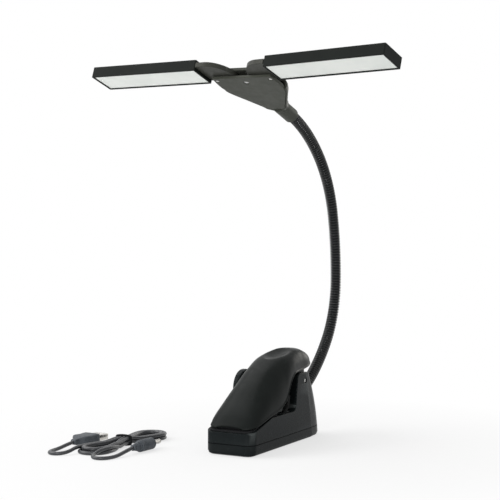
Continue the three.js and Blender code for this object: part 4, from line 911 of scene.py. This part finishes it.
@dataclass
class ChargingLead:
    """The lead that comes with the lamp, folded in four turns and held by a rubber ring.

    It lies on the floor beside the foot, with its barrel plug on one side of
    the tied turns and its USB plug on the other. Along X and Y its places are
    measured from the middle of the turns, and a fold or waist from the middle
    line to the lead's own centre line.
    """

    centre: Pair = (-92.0, -62.0)
    diameter: float = 2.8
    outer_fold: float = 11.4
    inner_fold: float = 8.55
    outer_waist: float = 4.3
    inner_waist: float = 1.45
    reach: float = 36.1
    low_layer: float = 1.55
    high_layer: float = 4.4
    tie_lift: float = 1.65
    tie_wire: float = 0.8
    tie_corner: float = 2.2
    tie_flatness: float = 1.55
    tie_askew: float = 7.0
    tie_sides: tuple[int, int] = (48, 12)
    lift_flat: float = 2.5
    lift_slope: float = 14.0
    twist_start: float = -32.0
    twist_length: float = 26.0
    floor_gap: float = 0.1
    step: float = 2.4
    dc_x: float = 27.0
    usb_x: float = -29.0
    tail_y: float = -26.0
    barrel_plug: BarrelPlug = field(default_factory=BarrelPlug)
    usb_plug: UsbPlug = field(default_factory=UsbPlug)

    @property
    def radius(self) -> float:
        """Half the thickness of the lead."""
        return self.diameter / 2

    @property
    def dc_z(self) -> float:
        """Height of the barrel plug's axis."""
        return self.floor_gap + self.barrel_plug.grip_radius

    @property
    def usb_z(self) -> float:
        """Height of the USB plug's axis."""
        return self.floor_gap + self.usb_plug.body[2] / 2

    def place(self, x: float, y: float, z: float) -> Vector:
        """Gives the point, in metres, of a place measured from the middle of the turns."""
        return Vector((self.centre[0] + x, self.centre[1] + y, z)) * MM

    def _lane(self, waist: float, fold: float, y: float) -> float:
        """Distance of a turn from the middle line at a distance y from the tie."""
        return between(waist, fold, smooth(abs(y) / self.reach))

    def _lift(self, y: float) -> float:
        """How far the tie below holds the turns off the floor."""
        return self.tie_lift * (1 - smooth((abs(y) - self.lift_flat) / self.lift_slope))

    def _right_run(self, start: float) -> list[Point]:
        """A right-hand run from the near fold to the far one.

        Between the near fold and the tie, the four runs on this side turn
        about each other by a quarter, so that each turn ends where the next
        begins.

        Args:
            start: Where in the rope of four the run starts, in degrees.

        Returns:
            Its points.
        """
        centre_z = (self.low_layer + self.high_layer) / 2
        rope = math.hypot(self.outer_fold - self.inner_fold, self.high_layer - self.low_layer) / 2
        points = []
        count = math.ceil(2 * self.reach / self.step)
        for i in range(count + 1):
            y = between(-self.reach, self.reach, i / count)
            middle = self._lane(
                (self.outer_waist + self.inner_waist) / 2, (self.outer_fold + self.inner_fold) / 2, y,
            )
            angle = math.radians(start - 90 * smooth((y - self.twist_start) / self.twist_length))
            points.append((
                middle + rope * math.cos(angle), y, centre_z + self._lift(y) + rope * math.sin(angle),
            ))
        return points

    def _left_run(self, waist: float, fold: float, z: float) -> list[Point]:
        """A left-hand run from the far fold back to the near one.

        Args:
            waist: The run's distance from the middle line at the tie.
            fold: The same distance at the folds.
            z: Its height on the floor.

        Returns:
            Its points.
        """
        count = math.ceil(2 * self.reach / self.step)
        points = []
        for i in range(count + 1):
            y = between(self.reach, -self.reach, i / count)
            points.append((-self._lane(waist, fold, y), y, z + self._lift(y)))
        return points

    def _fold(self, radius: float, z: float, far: bool) -> list[Point]:
        """The points inside one fold, leftwards at the far end and rightwards at the near one.

        Args:
            radius: The fold's radius.
            z: Its height.
            far: Whether it is the far one.

        Returns:
            Its points.
        """
        count = math.ceil(math.pi * radius / self.step)
        sign = 1 if far else -1
        points = []
        for i in range(1, count):
            angle = math.pi * i / count
            y = sign * (self.reach + radius * math.sin(angle))
            points.append((sign * radius * math.cos(angle), y, z))
        return points

    def route(self) -> list[Vector]:
        """Gives the centre line of the whole lead, from the barrel plug to the USB plug.

        Returns:
            Its points in metres.
        """
        dc_tail = [
            (self.dc_x, self.tail_y, self.dc_z), (self.dc_x, -33, 3.6), (self.dc_x, -40, 2.3),
            (self.dc_x, -46, 1.5), (26.7, -52, 1.5), (24.7, -57.5, 1.5), (19.2, -59.8, 1.5),
            (13.7, -57.5, 1.6), (11.5, -52.5, 2.3), (11.4, -48.4, 3.4), (11.4, -44.7, 4.2),
            (11.4, -40.5, 4.4),
        ]
        usb_tail = [
            (-11.4, -40.5, 4.4), (-11.4, -44.7, 4.2), (-11.4, -48.4, 3.4), (-11.9, -53.2, 2.2),
            (-14.6, -58.6, 1.6), (-20.2, -60.8, 1.5), (-25.6, -58.4, 1.5), (-28.6, -52, 1.5),
            (self.usb_x, -46, 1.5), (self.usb_x, -40, 2.1), (self.usb_x, -33, 3.3),
            (self.usb_x, self.tail_y, self.usb_z),
        ]
        outer, inner = (self.outer_waist, self.outer_fold), (self.inner_waist, self.inner_fold)
        turns = [
            (outer, self.low_layer, 45), (inner, self.low_layer, 315),
            (inner, self.high_layer, 225), (outer, self.high_layer, 135),
        ]
        line: list[Point] = list(dc_tail)
        for i, ((waist, fold), z, start) in enumerate(turns):
            line += self._right_run(start)
            line += self._fold(fold, z, far=True)
            line += self._left_run(waist, fold, z)
            if i < len(turns) - 1:
                line += self._fold(fold, z, far=False)
        line += usb_tail
        return [self.place(*p) for p in line]

    def _cord(self, line: Sequence[Vector]) -> bpy.types.Object:
        """Makes the lead itself, as one smooth round curve.

        Args:
            line: The points of its centre line, in metres.

        Returns:
            The new object.
        """
        curve = bpy.data.curves.new("lead_cord", "CURVE")
        curve.dimensions = "3D"
        curve.bevel_depth = self.radius * MM
        curve.bevel_resolution = 4
        curve.resolution_u = 3
        curve.use_fill_caps = True
        spline = curve.splines.new("NURBS")
        spline.points.add(len(line) - 1)
        for point, place in zip(spline.points, line):
            point.co = (*place, 1.0)
        spline.order_u = 4
        spline.use_endpoint_u = True
        curve.materials.append(LEAD_JACKET.material())
        return placed("lead_cord", curve)

    def _tie(self) -> bpy.types.Object:
        """Makes the rubber ring round the waist of the turns, a little askew.

        Returns:
            The new object.
        """
        half = self.outer_waist + self.radius + self.tie_wire
        bottom = self.floor_gap + self.tie_wire
        top = self.high_layer + self.tie_lift + self.radius + self.tie_wire
        corner = self.tie_corner
        askew = math.sin(math.radians(self.tie_askew))
        along, sides = self.tie_sides
        points = []
        height = (top - bottom) / 2
        for i in range(along):
            angle = 2 * math.pi * i / along
            c, s = math.cos(angle), math.sin(angle)
            x = math.copysign(min(abs(c) * self.tie_flatness, 1.0), c) * (half - corner) + c * corner
            z = math.copysign(min(abs(s) * self.tie_flatness, 1.0), s) * (height - corner) + s * corner
            outward = Vector((c, 0, s))
            for k in range(sides):
                turn = 2 * math.pi * k / sides
                offset = outward * math.cos(turn) + Vector((0, 1, 0)) * math.sin(turn)
                spot = Vector((x, 0, z)) + offset * self.tie_wire
                y = spot.y + spot.x * askew
                points.append(self.place(spot.x, y, bottom + height + spot.z))
        return mesh_object("lead_tie", points, loop_faces(along, sides), JAW_RUBBER)

    def build(self) -> None:
        line = self.route()
        cord, tie = self._cord(line), self._tie()
        barrel_end = self.place(self.dc_x, self.tail_y, self.dc_z)
        usb_end = self.place(self.usb_x, self.tail_y, self.usb_z)
        grip, barrel = self.barrel_plug.grip(barrel_end), self.barrel_plug.barrel(barrel_end)
        usb, shell = self.usb_plug.grip(usb_end), self.usb_plug.case(usb_end)
        tongue = self.usb_plug.tongue(usb_end)
        for piece, slot, nodes in (
            (cord, "cord_jacket", ("cord_hank", "plug_cord", "usb_cord")),
            (tie, "cord_jacket", ("cord_tie",)),
            (grip, "plug_plastic", ("dc_plug_grip",)),
            (barrel, "plug_metal", ("dc_plug_barrel",)),
            (usb, "plug_plastic", ("usb_plug_body",)),
            (shell, "plug_metal", ("usb_plug_shell",)),
            (tongue, "plug_plastic", ()),
        ):
            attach(piece, "base")
            if nodes:
                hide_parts(*nodes)


# ---------------------------------------------------------------------------
# Gooseneck
# ---------------------------------------------------------------------------


@dataclass
class Gooseneck:
    """The wound steel neck, drawn as one ribbed skin in four pieces."""

    root: Pair = (59.0, 36.4)
    slope: float = 28.0
    bends: tuple[float, ...] = (23.0, 38.0, 14.0, 33.0, 27.0)
    section: float = 57.0
    radius: float = 4.7
    held_radius: float = 4.4
    rib_pitch: float = 2.35
    rib_depth: float = 1.2
    rib_share: float = 0.84
    samples: int = 12
    sides: int = 28
    root_depth: float = 8.5
    insert: float = 11.5
    bend_reach: float = 22.0

    def at(self, distance: float) -> tuple[Vector, Vector]:
        """Gives the centre point, in millimetres, and the direction of the neck.

        Args:
            distance: Length along the neck from where it leaves the stern.

        Returns:
            The point and the unit direction there.
        """
        y, z = self.root
        heading = math.radians(self.slope)
        left = distance
        for bend in self.bends:
            if left <= 0:
                break
            length = min(left, self.section)
            curve = math.radians(bend) / self.section
            turned = heading + curve * length
            y += (math.sin(turned) - math.sin(heading)) / curve
            z -= (math.cos(turned) - math.cos(heading)) / curve
            heading = turned
            left -= length
        ahead = Vector((0, math.cos(heading), math.sin(heading)))
        return Vector((0, y, z)) + ahead * left, ahead

    def _outer(self, distance: float) -> float:
        """Gives the radius of the crests, which draws in where the stern or the head holds the neck."""
        free = 0 <= distance <= self.section * len(self.bends)
        return self.radius if free else self.held_radius

    def _groove(self, winding: float) -> float:
        """Gives how far the skin lies under the crests, by the count of windings up to it."""
        across = (2 * (winding % 1.0) - 1) / self.rib_share
        return self.rib_depth * (1 - math.sqrt(max(1 - across ** 2, 0.0)))

    def _skin(self, name: str, start: float, end: float) -> bpy.types.Object:
        """Makes one length of the ribbed skin.

        Args:
            name: The piece's name.
            start: Where it begins along the neck.
            end: Where it ends.

        Returns:
            The new object.
        """
        count = round((end - start) / self.rib_pitch * self.samples)
        points = []
        side = Vector((1, 0, 0))
        for i in range(count + 1):
            distance = between(start, end, i / count)
            centre, ahead = self.at(distance)
            up = side.cross(ahead)
            for k in range(self.sides):
                angle = 2 * math.pi * k / self.sides
                r = self._outer(distance) - self._groove(distance / self.rib_pitch - k / self.sides)
                points.append((centre + (side * math.cos(angle) - up * math.sin(angle)) * r) * MM)
        return mesh_object(name, points, ring_faces(count + 1, self.sides), NECK_COATING)

    def build(self) -> None:
        """Makes the four skins and hides the plain sections."""
        total = self.section * len(self.bends)
        # Each skin ends midway between two joints.
        cuts = [-self.root_depth] + [self.section * (i + 1.5) for i in range(3)] + [total + self.insert]
        replaced = (
            ("gooseneck_section_1",), ("gooseneck_section_2",), ("gooseneck_section_3",),
            ("gooseneck_section_4", "gooseneck_section_5"),
        )
        for i, nodes in enumerate(replaced):
            skin = self._skin(f"neck_skin_{i + 1}", cuts[i], cuts[i + 1])
            joint = self.section * (i + 1)
            before = self.at(joint - self.bend_reach)[0] * MM
            after = self.at(joint + self.bend_reach)[0] * MM
            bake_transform(skin)
            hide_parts(*nodes)


# ---------------------------------------------------------------------------
# Sub-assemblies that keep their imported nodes
# ---------------------------------------------------------------------------


@dataclass
class Dressed:
    """A sub-assembly whose nodes keep their shape and get a finish."""

    def rows(self) -> list[DressRow]:
        """Gives each node with its finish and the rounding of its edges."""
        raise NotImplementedError

    def build(self) -> None:
        """Dresses each node in turn."""
        for node, finish, rounding in self.rows():
            dress_node(node, finish, rounding)


@dataclass
class SeamLine:
    """A thin near-black band laid right round the foot at the joint between its
    tray and its casing: painted shade of the joint's groove.

    Its outline is the casing's own, taken a little above the joint, where the
    wall is plain.
    """

    height: float = 0.5
    proud: float = 0.07
    depth: float = 0.35
    above: float = 0.9
    shortest_edge: float = 0.05

    def _outline(self, level: float) -> list[Vector]:
        """Cuts the casing flat and gives its outer edge there.

        Args:
            level: The height of the cut in metres.

        Returns:
            The corner points in order, in metres, anticlockwise from above and
            beginning at the foremost one.
        """
        work = bmesh.new()
        work.from_mesh(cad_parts["upper_casing"].data)
        bmesh.ops.remove_doubles(work, verts=work.verts, dist=WELD_REACH * MM)
        cut = bmesh.ops.bisect_plane(
            work, geom=work.verts[:] + work.edges[:] + work.faces[:],
            plane_co=(0, 0, level), plane_no=(0, 0, 1),
        )
        edges = {e for e in cut["geom_cut"] if isinstance(e, bmesh.types.BMEdge)}
        outline: list[Vector] = []
        largest = 0.0
        while edges:
            edge = edges.pop()
            first, here = edge.verts
            loop = [first.co.copy()]
            while here is not first:
                loop.append(here.co.copy())
                following = [e for e in here.link_edges if e in edges]
                if not following:
                    break
                edges.discard(following[0])
                here = following[0].other_vert(here)
            area = sum(a.x * b.y - b.x * a.y for a, b in zip(loop, loop[1:] + loop[:1])) / 2
            if abs(area) > largest:
                largest = abs(area)
                outline = loop if area > 0 else loop[::-1]
        work.free()
        # The edges come in no fixed order, so the outline is turned to begin at one corner.
        start = min(range(len(outline)), key=lambda i: (outline[i].y, outline[i].x))
        outline = outline[start:] + outline[:start]
        shortest = self.shortest_edge * MM
        return [p for i, p in enumerate(outline) if (p - outline[i - 1]).length > shortest]

    def build(self) -> None:
        """Makes the painted shade of the joint as a thin closed band that rides on the base."""
        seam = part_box("foot_tray")[1][2]
        line = self._outline(seam + self.above * MM)
        profile = [
            (-self.depth, -0.5), (self.proud * 0.6, -0.5), (self.proud, -0.3),
            (self.proud, 0.3), (self.proud * 0.6, 0.5), (-self.depth, 0.5),
        ]
        points = []
        for i, place in enumerate(line):
            ahead = (line[(i + 1) % len(line)] - place).normalized() + (place - line[i - 1]).normalized()
            out = Vector((ahead.y, -ahead.x, 0)).normalized()
            for across, up in profile:
                offset = out * across + Vector((0, 0, up * self.height))
                points.append(Vector((place.x, place.y, seam)) + offset * MM)
        faces = [face[::-1] for face in loop_faces(len(line), len(profile))]
        # The near-black band is painted shade of the joint's groove.
        seam_shade_band = mesh_object("foot_seam_shade", points, faces, SEAM_SHADE)
        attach(seam_shade_band, "base")
        log.info("foot seam: %d corners at %.2f mm", len(line), seam / MM)


@dataclass
class Foot(Dressed):
    """The wedge foot with its battery bay, electronics, screws and switch."""

    tray_rounding: float = 0.1
    casing_rounding: float = 0.7
    moulded_rounding: float = 0.15
    button_rounding: float = 0.2
    small_rounding: float = 0.1
    cells: int = 3
    screws: int = 4

    def rows(self) -> list[DressRow]:
        """Lists the foot's nodes.

        Returns:
            Each node with its finish and the rounding of its edges.
        """
        rows: list[DressRow] = [
            ("foot_tray", TRAY_SATIN, self.tray_rounding),
            ("upper_casing", CASING_SATIN, self.casing_rounding),
            ("battery_door", TRAY_SATIN, self.moulded_rounding),
            ("foot_jaw_pad", JAW_RUBBER, self.moulded_rounding),
            ("power_button", BUTTON_RUBBER, self.button_rounding),
            ("button_switch", SOCKET_BLACK, self.small_rounding),
            ("power_socket", SOCKET_BLACK, 0.0), ("circuit_board", CIRCUIT_GREEN, 0.0),
            ("front_battery_contacts", CONTACT_NICKEL, 0.0), ("rear_battery_contacts", CONTACT_NICKEL, 0.0),
        ]
        rows += [(f"battery_cell_{i + 1}", CELL_SLEEVE, 0.0) for i in range(self.cells)]
        rows += [(f"case_screw_{i + 1}", STEEL_SCREW, self.small_rounding) for i in range(self.screws)]
        return rows


@dataclass
class LeverShell:
    """The clip's lever: a thin vault with a rolled lip, a hollow for the thumb and two cheeks on the pin.

    The four tables give the vault's half width, the heights of its crown and
    rim, and the fullness of its arch, by the place along the lamp.
    """

    half_width: tuple[Pair, ...] = (
        (-57.4, 12.5), (-56.3, 15.6), (-54.5, 17.5), (-50.0, 19.3), (-44.0, 20.1), (-34.0, 20.3),
        (-18.0, 20.2), (-4.0, 19.4), (8.0, 17.8), (20.0, 16.0), (32.0, 14.2), (44.0, 12.6),
        (52.0, 10.2), (57.0, 7.0), (59.4, 2.6),
    )
    crown: tuple[Pair, ...] = (
        (-57.4, 22.2), (-52.0, 28.6), (-40.0, 39.0), (-24.0, 52.0), (-10.0, 61.4), (4.0, 67.2), (14.0, 69.8),
        (22.0, 71.5), (30.0, 72.5), (37.0, 72.2), (46.0, 70.2), (54.0, 67.4), (59.4, 63.6),
    )
    rim: tuple[Pair, ...] = (
        (-57.4, 19.3), (-50.0, 21.2), (-43.0, 23.0), (-30.0, 26.6), (-16.0, 29.6), (-4.0, 36.0), (1.0, 42.6),
        (7.0, 49.6), (16.0, 54.4), (26.0, 55.0), (40.0, 56.4), (52.0, 57.8), (59.4, 60.4),
    )
    fullness: tuple[Pair, ...] = (
        (-57.4, 2.5), (-26.0, 2.5), (-6.0, 2.8), (10.0, 3.1), (30.0, 3.0), (59.4, 2.5),
    )
    hollow_y: float = 15.5
    hollow_reach: Pair = (9.6, 15.0)
    hollow_depth: float = 2.7
    hollow_bowl: float = 2.2
    hollow_edge: float = 0.06
    hollow_roll: float = 0.12
    wall: float = 2.2
    thinnest: float = 0.45
    proud: float = 0.1
    pin: Pair = (33.5, 47.0)
    cheek_radius: float = 8.5
    cheek_sides: Pair = (7.4, 10.4)
    cheek_chamfer: float = 0.4
    cheek_steps: int = 24
    cheek_top: float = 62.0
    lip_swell: float = 0.5
    lip_width: float = 1.5
    lip_fullness: float = 0.8
    lip_limit: float = 0.2
    lip_shares: tuple[float, ...] = (0.0, 0.15, 0.32, 0.5, 0.68, 0.85, 1.0)
    end_rounding: tuple[Pair, ...] = ((0.3, 0.75), (0.2, 0.3), (0.0, 0.0))
    crowding: float = 0.35
    stations: int = 130
    across: int = 64
    arch_steps: int = 480

    def _arch(self, y: float) -> list[Vector]:
        """Gives the vault's arch in close steps.

        Args:
            y: The station along the lamp.

        Returns:
            Points in the XZ plane, from the right rim over the crown to the left.
        """
        tables = (self.half_width, self.crown, self.rim, self.fullness)
        half, top, low, full = (Knots(rows).at(y) for rows in tables)
        points = []
        for i in range(self.arch_steps + 1):
            turn = math.pi * i / self.arch_steps
            c, s = math.cos(turn), math.sin(turn)
            x = math.copysign(abs(c) ** (2 / full), c) * half
            points.append(Vector((x, low + (top - low) * max(s, 0.0) ** (2 / full))))
        return points

    def _spacing(self, total: float) -> list[float]:
        """Spaces the section's points along the arch, closely in the lip and evenly between.

        Args:
            total: The arch's length.

        Returns:
            Each point's way from the right rim.
        """
        reach = min(self.lip_width, total * self.lip_limit)
        ends = [share * reach for share in self.lip_shares]
        middle = [between(reach, total - reach, i / self.across) for i in range(1, self.across)]
        return ends + middle + [total - end for end in reversed(ends)]

    def _section(self, y: float) -> list[tuple[Vector, Vector, float]]:
        """Gives the section's points in the XZ plane, from the right rim over the crown to the left.

        Args:
            y: The station along the lamp.

        Returns:
            Each point with its outward normal and its distance from the nearer rim.
        """
        arch = self._arch(y)
        last = len(arch) - 1
        walked = [0.0]
        for a, b in zip(arch, arch[1:]):
            walked.append(walked[-1] + (b - a).length)
        total = walked[-1]
        rows = []
        k = 0
        for goal in self._spacing(total):
            while k < last - 1 and walked[k + 1] < goal:
                k += 1
            share = (goal - walked[k]) / (walked[k + 1] - walked[k])
            here = arch[k].lerp(arch[k + 1], min(max(share, 0.0), 1.0))
            # The direction is taken over five steps, so that it turns evenly.
            ahead = (arch[min(k + 3, last)] - arch[max(k - 2, 0)]).normalized()
            rows.append((here, Vector((ahead.y, -ahead.x)), min(goal, total - goal)))
        return rows

    def _hollow(self, x: float, y: float) -> float:
        """Gives how deep the thumb's hollow is at a place on the crown.

        Args:
            x: The place across the lamp.
            y: The place along the lamp.

        Returns:
            The depth, with a crisp edge that rolls over in its last part.
        """
        reach = math.hypot(x / self.hollow_reach[0], (y - self.hollow_y) / self.hollow_reach[1])
        if reach >= 1 + self.hollow_edge:
            return 0.0
        bowl = self.hollow_depth * (1 - min(reach, 1.0) ** self.hollow_bowl)
        rolled = self.hollow_roll * max(1 - abs(reach - 1.0) / self.hollow_edge, 0.0) ** 2
        return bowl + (rolled if reach > 1.0 else rolled * 0.5)

    def _swell(self, way: float) -> float:
        """Gives how far the rolled lip stands out.

        Args:
            way: The distance from the rim.

        Returns:
            The height of the lip there.
        """
        if way >= self.lip_width:
            return 0.0
        return self.lip_swell * math.sin(math.pi * way / self.lip_width) ** self.lip_fullness

    def _ring(self, y: float, shrink: float) -> list[Vector]:
        """Makes one closed ring of the skin: the outside from rim to rim, then the inside back.

        Args:
            y: The station along the lamp.
            shrink: How far the outside draws in, to round the ends.

        Returns:
            The ring's points in millimetres.
        """
        section = self._section(min(max(y, self.crown[0][0]), self.crown[-1][0]))
        half = section[0][0].x
        tall = max(place.y for place, _, _ in section) - section[0][0].y
        wall = min(self.wall, self.thinnest * half, self.thinnest * tall)
        outside, inside = [], []
        for place, normal, way in section:
            out = place + normal * (self.proud + self._swell(way) - shrink)
            outside.append(Vector((out.x, y, out.y - self._hollow(out.x, y))))
            back = place - normal * wall
            inside.append(Vector((back.x, y, back.y - self._hollow(back.x, y))))
        return outside + list(reversed(inside))

    def _cheek(self, side: int) -> None:
        """Makes one cheek, a rounded plate inside the vault that the pin runs through.

        Args:
            side: 1 for the cheek at +X, -1 for the one at -X.
        """
        pin_y, pin_z = self.pin
        radius, chamfer = self.cheek_radius, self.cheek_chamfer
        edge = []
        for i in range(self.cheek_steps + 1):
            angle = math.pi * (1 + i / self.cheek_steps)
            edge.append((pin_y + radius * math.cos(angle), pin_z + radius * math.sin(angle)))
        edge += [(pin_y + radius, self.cheek_top), (pin_y - radius, self.cheek_top)]
        inner, outer = self.cheek_sides
        layers = [(inner, chamfer), (inner + chamfer, 0.0), (outer - chamfer, 0.0), (outer, chamfer)]
        rings = []
        for x, inset in layers:
            for y, z in edge:
                toward = Vector((0, pin_y - y, pin_z - z)).normalized() * inset
                rings.append((Vector((x * side, y, z)) + toward) * MM)
        faces = ring_faces(len(layers), len(edge))
        if side > 0:
            faces = [face[::-1] for face in faces]
        cheek = mesh_object(f"lever_cheek_{'right' if side > 0 else 'left'}", rings, faces, LEVER_SATIN)
        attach(cheek, "lever")

    def build(self) -> None:
        """Makes the vault and its cheeks, which ride on the lever."""
        nose, tail = self.crown[0][0], self.crown[-1][0]
        rows = [(nose - past, shrink) for past, shrink in self.end_rounding]
        for i in range(1, self.stations):
            share = i / self.stations
            crowded = share - self.crowding * math.sin(2 * math.pi * share) / (2 * math.pi)
            rows.append((between(nose, tail, crowded), 0.0))
        rows += [(tail + past, shrink) for past, shrink in reversed(self.end_rounding)]
        points = [p * MM for y, shrink in rows for p in self._ring(y, shrink)]
        faces = ring_faces(len(rows), len(points) // len(rows))
        shell = mesh_object("lever_vault", points, faces, LEVER_SATIN)
        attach(shell, "lever")
        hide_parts("lever_shell")
        for side in (-1, 1):
            self._cheek(side)
        log.info("lever: lip %.1f mm proud, hollow %.1f mm deep", self.lip_swell, self.hollow_depth)


@dataclass
class Clip(Dressed):
    """The sprung lever's pin and spring, with its jaw plate and pad."""

    jaw_rounding: float = 0.15
    pin_rounding: float = 0.12

    def rows(self) -> list[DressRow]:
        """Lists the clip's nodes.

        Returns:
            Each node with its finish and the rounding of its edges.
        """
        return [
            ("lever_jaw_plate", CASING_SATIN, self.jaw_rounding),
            ("lever_jaw_pad", JAW_RUBBER, self.jaw_rounding),
            ("clamp_pin", STEEL_PIN, self.pin_rounding), ("clamp_spring", SPRING_STEEL, 0.0),
        ]


@dataclass
class Head(Dressed):
    """The leaf-shaped hub with its two arms and light bars."""

    plate_rounding: float = 0.25
    shell_rounding: float = 0.35
    screw_rounding: float = 0.1
    nut_rounding: float = 0.15
    arm_rounding: float = 0.25
    housing_rounding: float = 0.3
    diffuser_rounding: float = 0.1
    pin_rounding: float = 0.12

    def rows(self) -> list[DressRow]:
        """Lists the head's nodes.

        Returns:
            Each node with its finish and the rounding of its edges.
        """
        rows: list[DressRow] = [
            ("hub_front_plate", HUB_MATT, self.plate_rounding),
            ("hub_rear_shell", HUB_MATT, self.shell_rounding),
            ("hub_screw", STEEL_SCREW, self.screw_rounding),
            ("gooseneck_nut", SPRING_STEEL, self.nut_rounding),
        ]
        for side in ("left", "right"):
            rows += [
                (f"{side}_arm", ARM_SATIN, self.arm_rounding),
                (f"{side}_panel_housing", PANEL_SATIN, self.housing_rounding),
                (f"{side}_diffuser", DIFFUSER_WHITE, self.diffuser_rounding),
                (f"{side}_led_board", LED_LAMINATE, 0.0),
                (f"{side}_pivot_pin", STEEL_PIN, self.pin_rounding),
            ]
        return rows


# ---------------------------------------------------------------------------
# Studio
# ---------------------------------------------------------------------------


@dataclass
class Softbox:
    """One square soft light that looks at a point."""

    name: str
    place: Point
    aim: Point
    size: float
    watts: float
    tint: tuple[float, float, float] = (1.0, 1.0, 1.0)

    def build(self) -> None:
        """Makes the light and turns it to its aim."""
        data = bpy.data.lights.new(self.name, "AREA")
        data.shape = "SQUARE"
        data.size = self.size * MM
        data.energy = self.watts
        data.color = self.tint
        light = placed(self.name, data)
        light.location = Vector(self.place) * MM
        way = Vector(self.aim) - Vector(self.place)
        light.rotation_euler = way.to_track_quat("-Z", "Y").to_euler()


@dataclass
class Studio:
    """White floor and backdrop with soft lights."""

    floor_half: float = 6000.0
    floor_white: float = 0.93
    shadow_span: Pair = (100.0, 300.0)
    shadow_glow: float = 0.66
    fill: float = 0.45
    lights: tuple[Softbox, ...] = (
        Softbox("key", (-1050.0, -650.0, 800.0), (0.0, 0.0, 140.0), 900.0, 9.0),
        Softbox("front", (250.0, -1100.0, 200.0), (0.0, 0.0, 60.0), 120.0, 4.0),
        Softbox("rim", (100.0, 1200.0, 300.0), (0.0, 30.0, 40.0), 400.0, 1.2, (1.0, 0.97, 0.9)),
        Softbox("top", (-700.0, 150.0, 1250.0), (0.0, 0.0, 100.0), 900.0, 6.0),
    )

    def _seen(self, tree: bpy.types.NodeTree) -> bpy.types.NodeSocket:
        """Tells the rays that see the background from those that light the lamp.

        Args:
            tree: The node tree that asks.

        Returns:
            The socket that gives 1 for a ray from the camera, a mirror or glass, else 0.
        """
        path = tree.nodes.new("ShaderNodeLightPath")
        seen = path.outputs["Is Camera Ray"]
        for ray in ("Is Glossy Ray", "Is Transmission Ray"):
            either = tree.nodes.new("ShaderNodeMath")
            either.operation = "MAXIMUM"
            tree.links.new(seen, either.inputs[0])
            tree.links.new(path.outputs[ray], either.inputs[1])
            seen = either.outputs[0]
        return seen

    def _world(self) -> None:
        """Makes the world white to look at, and dimmer as a light."""
        world = bpy.data.worlds.new("studio")
        world.use_nodes = True
        tree = world.node_tree
        tree.nodes.clear()
        seen, lit, mix = (tree.nodes.new(kind) for kind in (
            "ShaderNodeBackground", "ShaderNodeBackground", "ShaderNodeMixShader",
        ))
        out = tree.nodes.new("ShaderNodeOutputWorld")
        for node, strength in ((seen, 1.0), (lit, self.fill)):
            node.inputs["Color"].default_value = (1, 1, 1, 1)
            node.inputs["Strength"].default_value = strength
        tree.links.new(self._seen(tree), mix.inputs[0])
        tree.links.new(lit.outputs[0], mix.inputs[1])
        tree.links.new(seen.outputs[0], mix.inputs[2])
        tree.links.new(mix.outputs[0], out.inputs[0])
        bpy.context.scene.world = world

    def _floor(self) -> None:
        """Makes the floor, which keeps a soft shadow near the lamp and is white further off."""
        half = self.floor_half * MM
        corners = [(-half, -half, 0), (half, -half, 0), (half, half, 0), (-half, half, 0)]
        board = NodeBoard("studio_floor")
        white = (self.floor_white, self.floor_white, self.floor_white, 1)
        matt = board.add("ShaderNodeBsdfDiffuse", Color=white)
        glow = board.add("ShaderNodeEmission", Strength=1.0)
        away = board.add("ShaderNodeVectorMath", {"operation": "LENGTH"}, Vector=board.place)
        span = (self.shadow_span[0] * MM, self.shadow_span[1] * MM)
        clear = board.ranged(away.outputs["Value"], span, (self.shadow_glow, 1.0))
        share = board.combined("MULTIPLY", clear, self._seen(board.tree))
        mix = board.add("ShaderNodeMixShader")
        for socket, value in zip(mix.inputs, (share, matt.outputs[0], glow.outputs[0])):
            board.tree.links.new(value, socket)
        mesh = bpy.data.meshes.new("studio_floor")
        mesh.from_pydata(corners, [], [(0, 1, 2, 3)])
        mesh.materials.append(board.finish(mix))
        placed("studio_floor", mesh)

    def build(self) -> None:
        """Makes the world, the floor and the lights."""
        self._world()
        self._floor()
        for light in self.lights:
            light.build()
        bpy.context.scene.view_settings.view_transform = "Standard"


def main() -> None:
    """Builds every part of the scene in order."""
    logging.basicConfig(level=logging.INFO, format="%(name)s: %(message)s")
    parts = (
        Camera(), ChargingLead(), Gooseneck(), Foot(), SeamLine(), Clip(), LeverShell(), Head(), Studio(),
    )
    for part in parts:
        log.info("building the %s", type(part).__name__)
        part.build()


if __name__ == "__main__":
    main()
